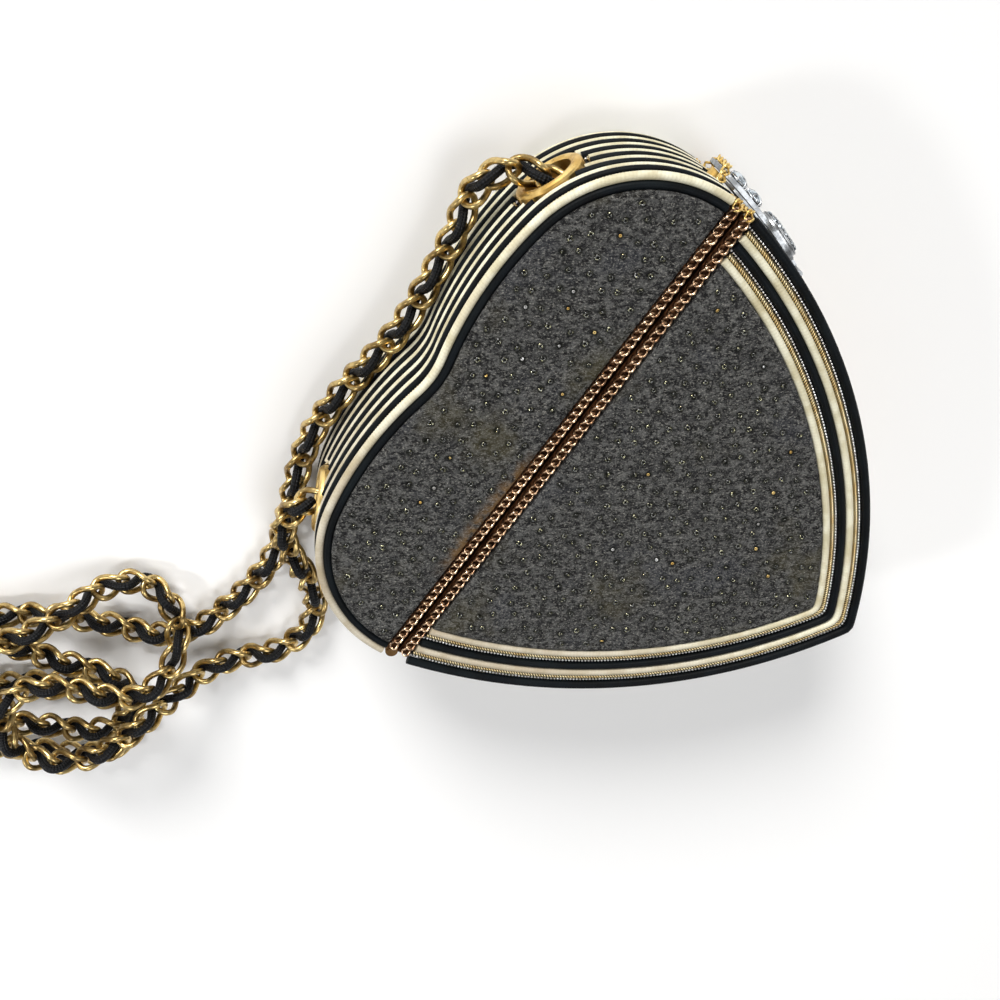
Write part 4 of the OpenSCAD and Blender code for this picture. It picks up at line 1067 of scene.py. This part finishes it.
def make_stones():
    """The two round stones in their collars, each with six claws, and the paved oval."""
    stones, mounts = Stock(), Stock()
    gem = brilliant(STONE_D, STONE_D / 2.6)
    for y in STONE_YS:
        at, turn = on_side(y, FLAP_OUT + GAP)
        copies(stones, gem, turn[None], at[None])
        ring = FULL_TURN * np.arange(25) / 24
        collar = raised(np.stack([np.cos(ring), np.sin(ring)], 1) * STONE_D * 0.49, 0.45)
        tube(mounts, collar @ turn.T + at, 0.30, 8, turn[:, 2])
        for a in turns_of(6, 0.5):
            claw = np.array([[math.cos(a) * STONE_D * q, math.sin(a) * STONE_D * q, z] for q, z in CLAW])
            tube(mounts, claw @ turn.T + at, 0.30, 8, turn[:, 1] + 0.3 * turn[:, 0])
    stones.piece("clasp_round_stones", STONE, "clasp", "clasp_stones", smooth=False)
    mounts.piece("clasp_mounts", WHITE_METAL, "clasp")
    make_pave()


def make_flap_chain():
    """Curb links that carry the seam's chain on over the flap's neck, with their ends hanging beside it."""
    half = [(1.3, 0.0), (3.9, 0.0), (5.6, -1.98), (7.2, -4.0)]
    steps = half[::-1] + [(-z, drop) for z, drop in half]
    turn = on_side(NECK_Y, 0.0)[1]
    stops = np.array([on_side(NECK_Y, FLAP_OUT + CHAIN_RISE + drop)[0] + [0, 0, z] for z, drop in steps])
    stock = Stock()
    copies(stock, curb_link(SEAM_LINK, SEAM_WID, SEAM_WIRE, 20, 6), *chain_frames(stops, turn[:, 1]))
    # In the brighter copy of the curb: painted light
    stock.piece("clasp_curb", CURB_PAINTED_LIGHT, "clasp")


def pave_plate(metal, turn, at):
    """The oval's domed plate and the rolled wire round its edge."""
    half_w, straight, n = PAVE_WID / 2, (PAVE_LEN - PAVE_WID) / 2, 48
    c, s = np.cos(turns_of(n)), np.sin(turns_of(n))
    loop = np.stack([c * half_w, s * half_w + np.copysign(straight, s) * np.minimum(1, np.abs(s) * 4)], 1)
    points = np.vstack([raised(loop * share, PLATE_H + z) for share, z in DOME_STEPS])
    j, k = pairs(len(DOME_STEPS) - 1, n)
    kk = (k + 1) % n
    metal.add(points @ turn.T + at, np.stack([j * n + k, j * n + kk, (j + 1) * n + kk, (j + 1) * n + k], 1))
    edge = raised(np.vstack([loop, loop[:1]]) * 0.975, PLATE_H * 0.95)
    tube(metal, edge @ turn.T + at, 0.28, 8, turn[:, 2])


def make_pave():
    """The oval: a domed plate paved with small stones in rows, with a claw bead between each."""
    at, turn = on_side(OVAL_Y, FLAP_OUT + GAP)
    half_w, straight = PAVE_WID / 2, (PAVE_LEN - PAVE_WID) / 2

    def across(x, y):
        return math.hypot(x, max(abs(y) - straight, 0)) / half_w

    def dome(x, y):
        return PLATE_H + 1.05 * math.sqrt(max(0.0, 1 - across(x, y) ** 2))
    stones, metal = Stock(), Stock()
    gem, (dot, *dot_faces) = brilliant(1.75, 0.75, 6), ball()
    net = [((i + 0.5 * (j % 2)) * 1.86, j * 1.62) for j in range(-4, 5) for i in range(-3, 4)]
    for x, y in net:
        if across(x, y) < 0.84:
            lean = Vector((x, y * 0.6, 9.0)).normalized()
            tilt = np.array(Vector((0, 0, 1)).rotation_difference(lean).to_matrix())
            place = turn @ np.array([x, y, dome(x, y) - 0.30]) + at
            copies(stones, gem, (turn @ tilt)[None], place[None])
    for x, y in [(x + 0.93, y + 0.54) for x, y in net]:
        if across(x, y) < 0.86:
            place = turn @ np.array([x, y, dome(x, y) + 0.16]) + at
            copies(metal, (dot * 0.27, *dot_faces), np.eye(3)[None], place[None])
    pave_plate(metal, turn, at)
    stones.piece("clasp_pave_stones", PAVE, "clasp", smooth=False)
    metal.piece("clasp_pave_plate", WHITE_METAL, "clasp")


# ---------------------------------------------------------------- lining
CLOTH_T, EYELET_HOLE = 0.3, 8.3


def lining_wall(half, line, low, high):
    """The cloth on the wall, puckered between its glued edges, and open at the eyelets."""
    rows = np.linspace(low, high, 32)
    n, m = len(line), len(rows)
    s = lengths(raised(line, 0.0))
    away = np.clip(np.minimum(s, s[-1] - s) / 10 - 0.6, 0, 1)
    normal = unit(np.stack([-np.gradient(line[:, 1]), np.gradient(line[:, 0])], 1))
    middle = np.array([0, 10.0 if half == "lid" else -30.0])
    normal *= np.sign(((middle - line) * normal).sum(1))[:, None]
    grid = []
    for z in rows:
        glued = min(1.0, (z - low) / 4, (high - z) / 4)
        pucker = 0.16 * (np.sin(s / 2.1 + z * 0.35) * np.sin(z / 3.3 + s * 0.13) + 1) * glued * away
        grid.append(raised(line + normal * (pucker - 0.02)[:, None], z))
    points = np.vstack(grid)
    j, i = pairs(m - 1, n - 1)
    quads = np.stack([j * n + i, j * n + i + 1, (j + 1) * n + i + 1, (j + 1) * n + i], 1)
    if half == "lid":
        quads = quads[~by_eyelets(points[quads].mean(1), EYELET_HOLE)]
    return points, quads


def make_lining(half, line_at, edge, seed):
    """The cloth that lines one half, gently puckered between the places where it is glued."""
    rng = np.random.default_rng(seed)
    line = evenly(raised(line_at(LINED, edge, edge), 0.0), 1.2)[:, :2]
    low, high = DEPTH - FRONT_Z + LINED - COVER, FRONT_Z - LINED + COVER
    stock = Stock()
    stock.add(*lining_wall(half, line, low, high))
    outline = closed_outline(line, edge, 1.2)
    flat, faces = filled(np.vstack([outline, scattered(outline, 2.0, 0.3, 1.2, rng)]), len(outline))
    away = np.clip(distance_to(flat, outline) / 8 - 0.1, 0, 1)
    for z, sign in ((low, 1), (high, -1)):
        hill = 0.22 * (soft_hills(flat, rng, 9.0) + 1) * away
        stock.add(np.hstack([flat, (z + sign * hill)[:, None]]), faces)
    made = stock.piece(f"{half}_cloth_lining", CLOTH, half, f"{half}_lining")
    thick = made.modifiers.new("thickness", "SOLIDIFY")
    thick.thickness, thick.offset = CLOTH_T * MM, 0


# ---------------------------------------------------------------- floor and light
def make_floor():
    """A plain floor, 60 metres square, a hair below the purse."""
    mesh = bpy.data.meshes.new("floor")
    size = 30.0
    corners = [(-size, -size, 0), (size, -size, 0), (size, size, 0), (-size, size, 0)]
    mesh.from_pydata(corners, [], [(0, 1, 2, 3)])
    mesh.materials.append(floor_finish())
    floor = bpy.data.objects.new("floor", mesh)
    floor.location.z = -0.0002
    bpy.context.scene.collection.objects.link(floor)


def add_lamp(name, kind, at, power, spread, colour=(1, 1, 1), aim=(0, 0, 0.02)):
    """A lamp turned to the purse: spread is a sun's angle in degrees, or a disc's width in metres."""
    data = bpy.data.lights.new(name, kind)
    data.energy, data.color = power, colour
    if kind == "SUN":
        data.angle = math.radians(spread)
    else:
        data.shape, data.size = "DISK", spread
    lamp = bpy.data.objects.new(name, data)
    lamp.location = at
    lamp.rotation_euler = (Vector(aim) - Vector(at)).to_track_quat("-Z", "Y").to_euler()
    bpy.context.scene.collection.objects.link(lamp)


def set_light():
    """A dim studio with a pale strip round its horizon, a key from beyond the lobes and a fill from above."""
    world = bpy.data.worlds.new("studio")
    world.use_nodes = True
    tree = world.node_tree
    kinds = "ShaderNodeTexCoord", "ShaderNodeSeparateXYZ", "ShaderNodeMapRange"
    way, split, strip = [tree.nodes.new(kind) for kind in kinds]
    strip.interpolation_type = "SMOOTHSTEP"
    for socket, value in zip(strip.inputs[1:], (0.18, 0.42, 0.85, 0.20)):
        socket.default_value = value
    tree.links.new(way.outputs[0], split.inputs[0])
    tree.links.new(split.outputs[2], strip.inputs[0])
    tree.links.new(strip.outputs[0], tree.nodes["Background"].inputs[1])
    tree.nodes["Background"].inputs[0].default_value = (1.0, 1.0, 1.0, 1)
    bpy.context.scene.world = world
    add_lamp("key", "SUN", (0.52, 0.66, 0.42), 3.0, 22.0, (1.0, 0.985, 0.96))
    add_lamp("fill", "SUN", (0.05, -0.30, 0.95), 1.1, 34.0)
    add_lamp("glint", "AREA", (-0.45, 0.50, 0.55), 1.4, 0.10)
    bpy.context.scene.view_settings.view_transform = "Standard"
    bpy.context.scene.view_settings.look = "None"


# ---------------------------------------------------------------- all together
def dress_cad_nodes():
    """The nodes whose shapes stay get their own finishes."""
    kept = ((BOARD, "lid_shell pocket_shell"), (SEAM_GILT_AND_SHADE, "lid_rim pocket_rim"),
            (BRONZE, "lid_hinge_leaf pocket_hinge_leaf hinge_pin"),
            (GILT, "eyelet_right eyelet_left strap_bar_right strap_bar_left clasp_keeper"),
            (DARK_WHITE_METAL, "clasp_base clasp_pin clasp_flap"), (STEEL, "clasp_magnet"))
    for finish, nodes in kept:
        for node in nodes.split():
            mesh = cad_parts[node].data
            mesh.materials.clear()
            mesh.materials.append(finish)


dress_cad_nodes()
LINK_PIECES = make_strap()
make_strap_cord()
make_wall_cords()
make_face_cords()
make_piping()
for number, side in enumerate(("front", "rear")):
    make_felt("lid", side, lid_line, LID_FELT_T, LID_TRIM, 1, 11 + number)
for number, side in enumerate(("front", "rear")):
    make_felt("pocket", side, pocket_line, POCKET_FELT_T, POCKET_TRIM, -1, 13 + number)
make_seam_chains()
make_stones()
make_flap_chain()
make_lining("lid", lid_line, LID_EDGE + 0.4, 21)
make_lining("pocket", pocket_line, POCKET_EDGE - RIM_LEN - 0.2, 22)
make_floor()
set_light()
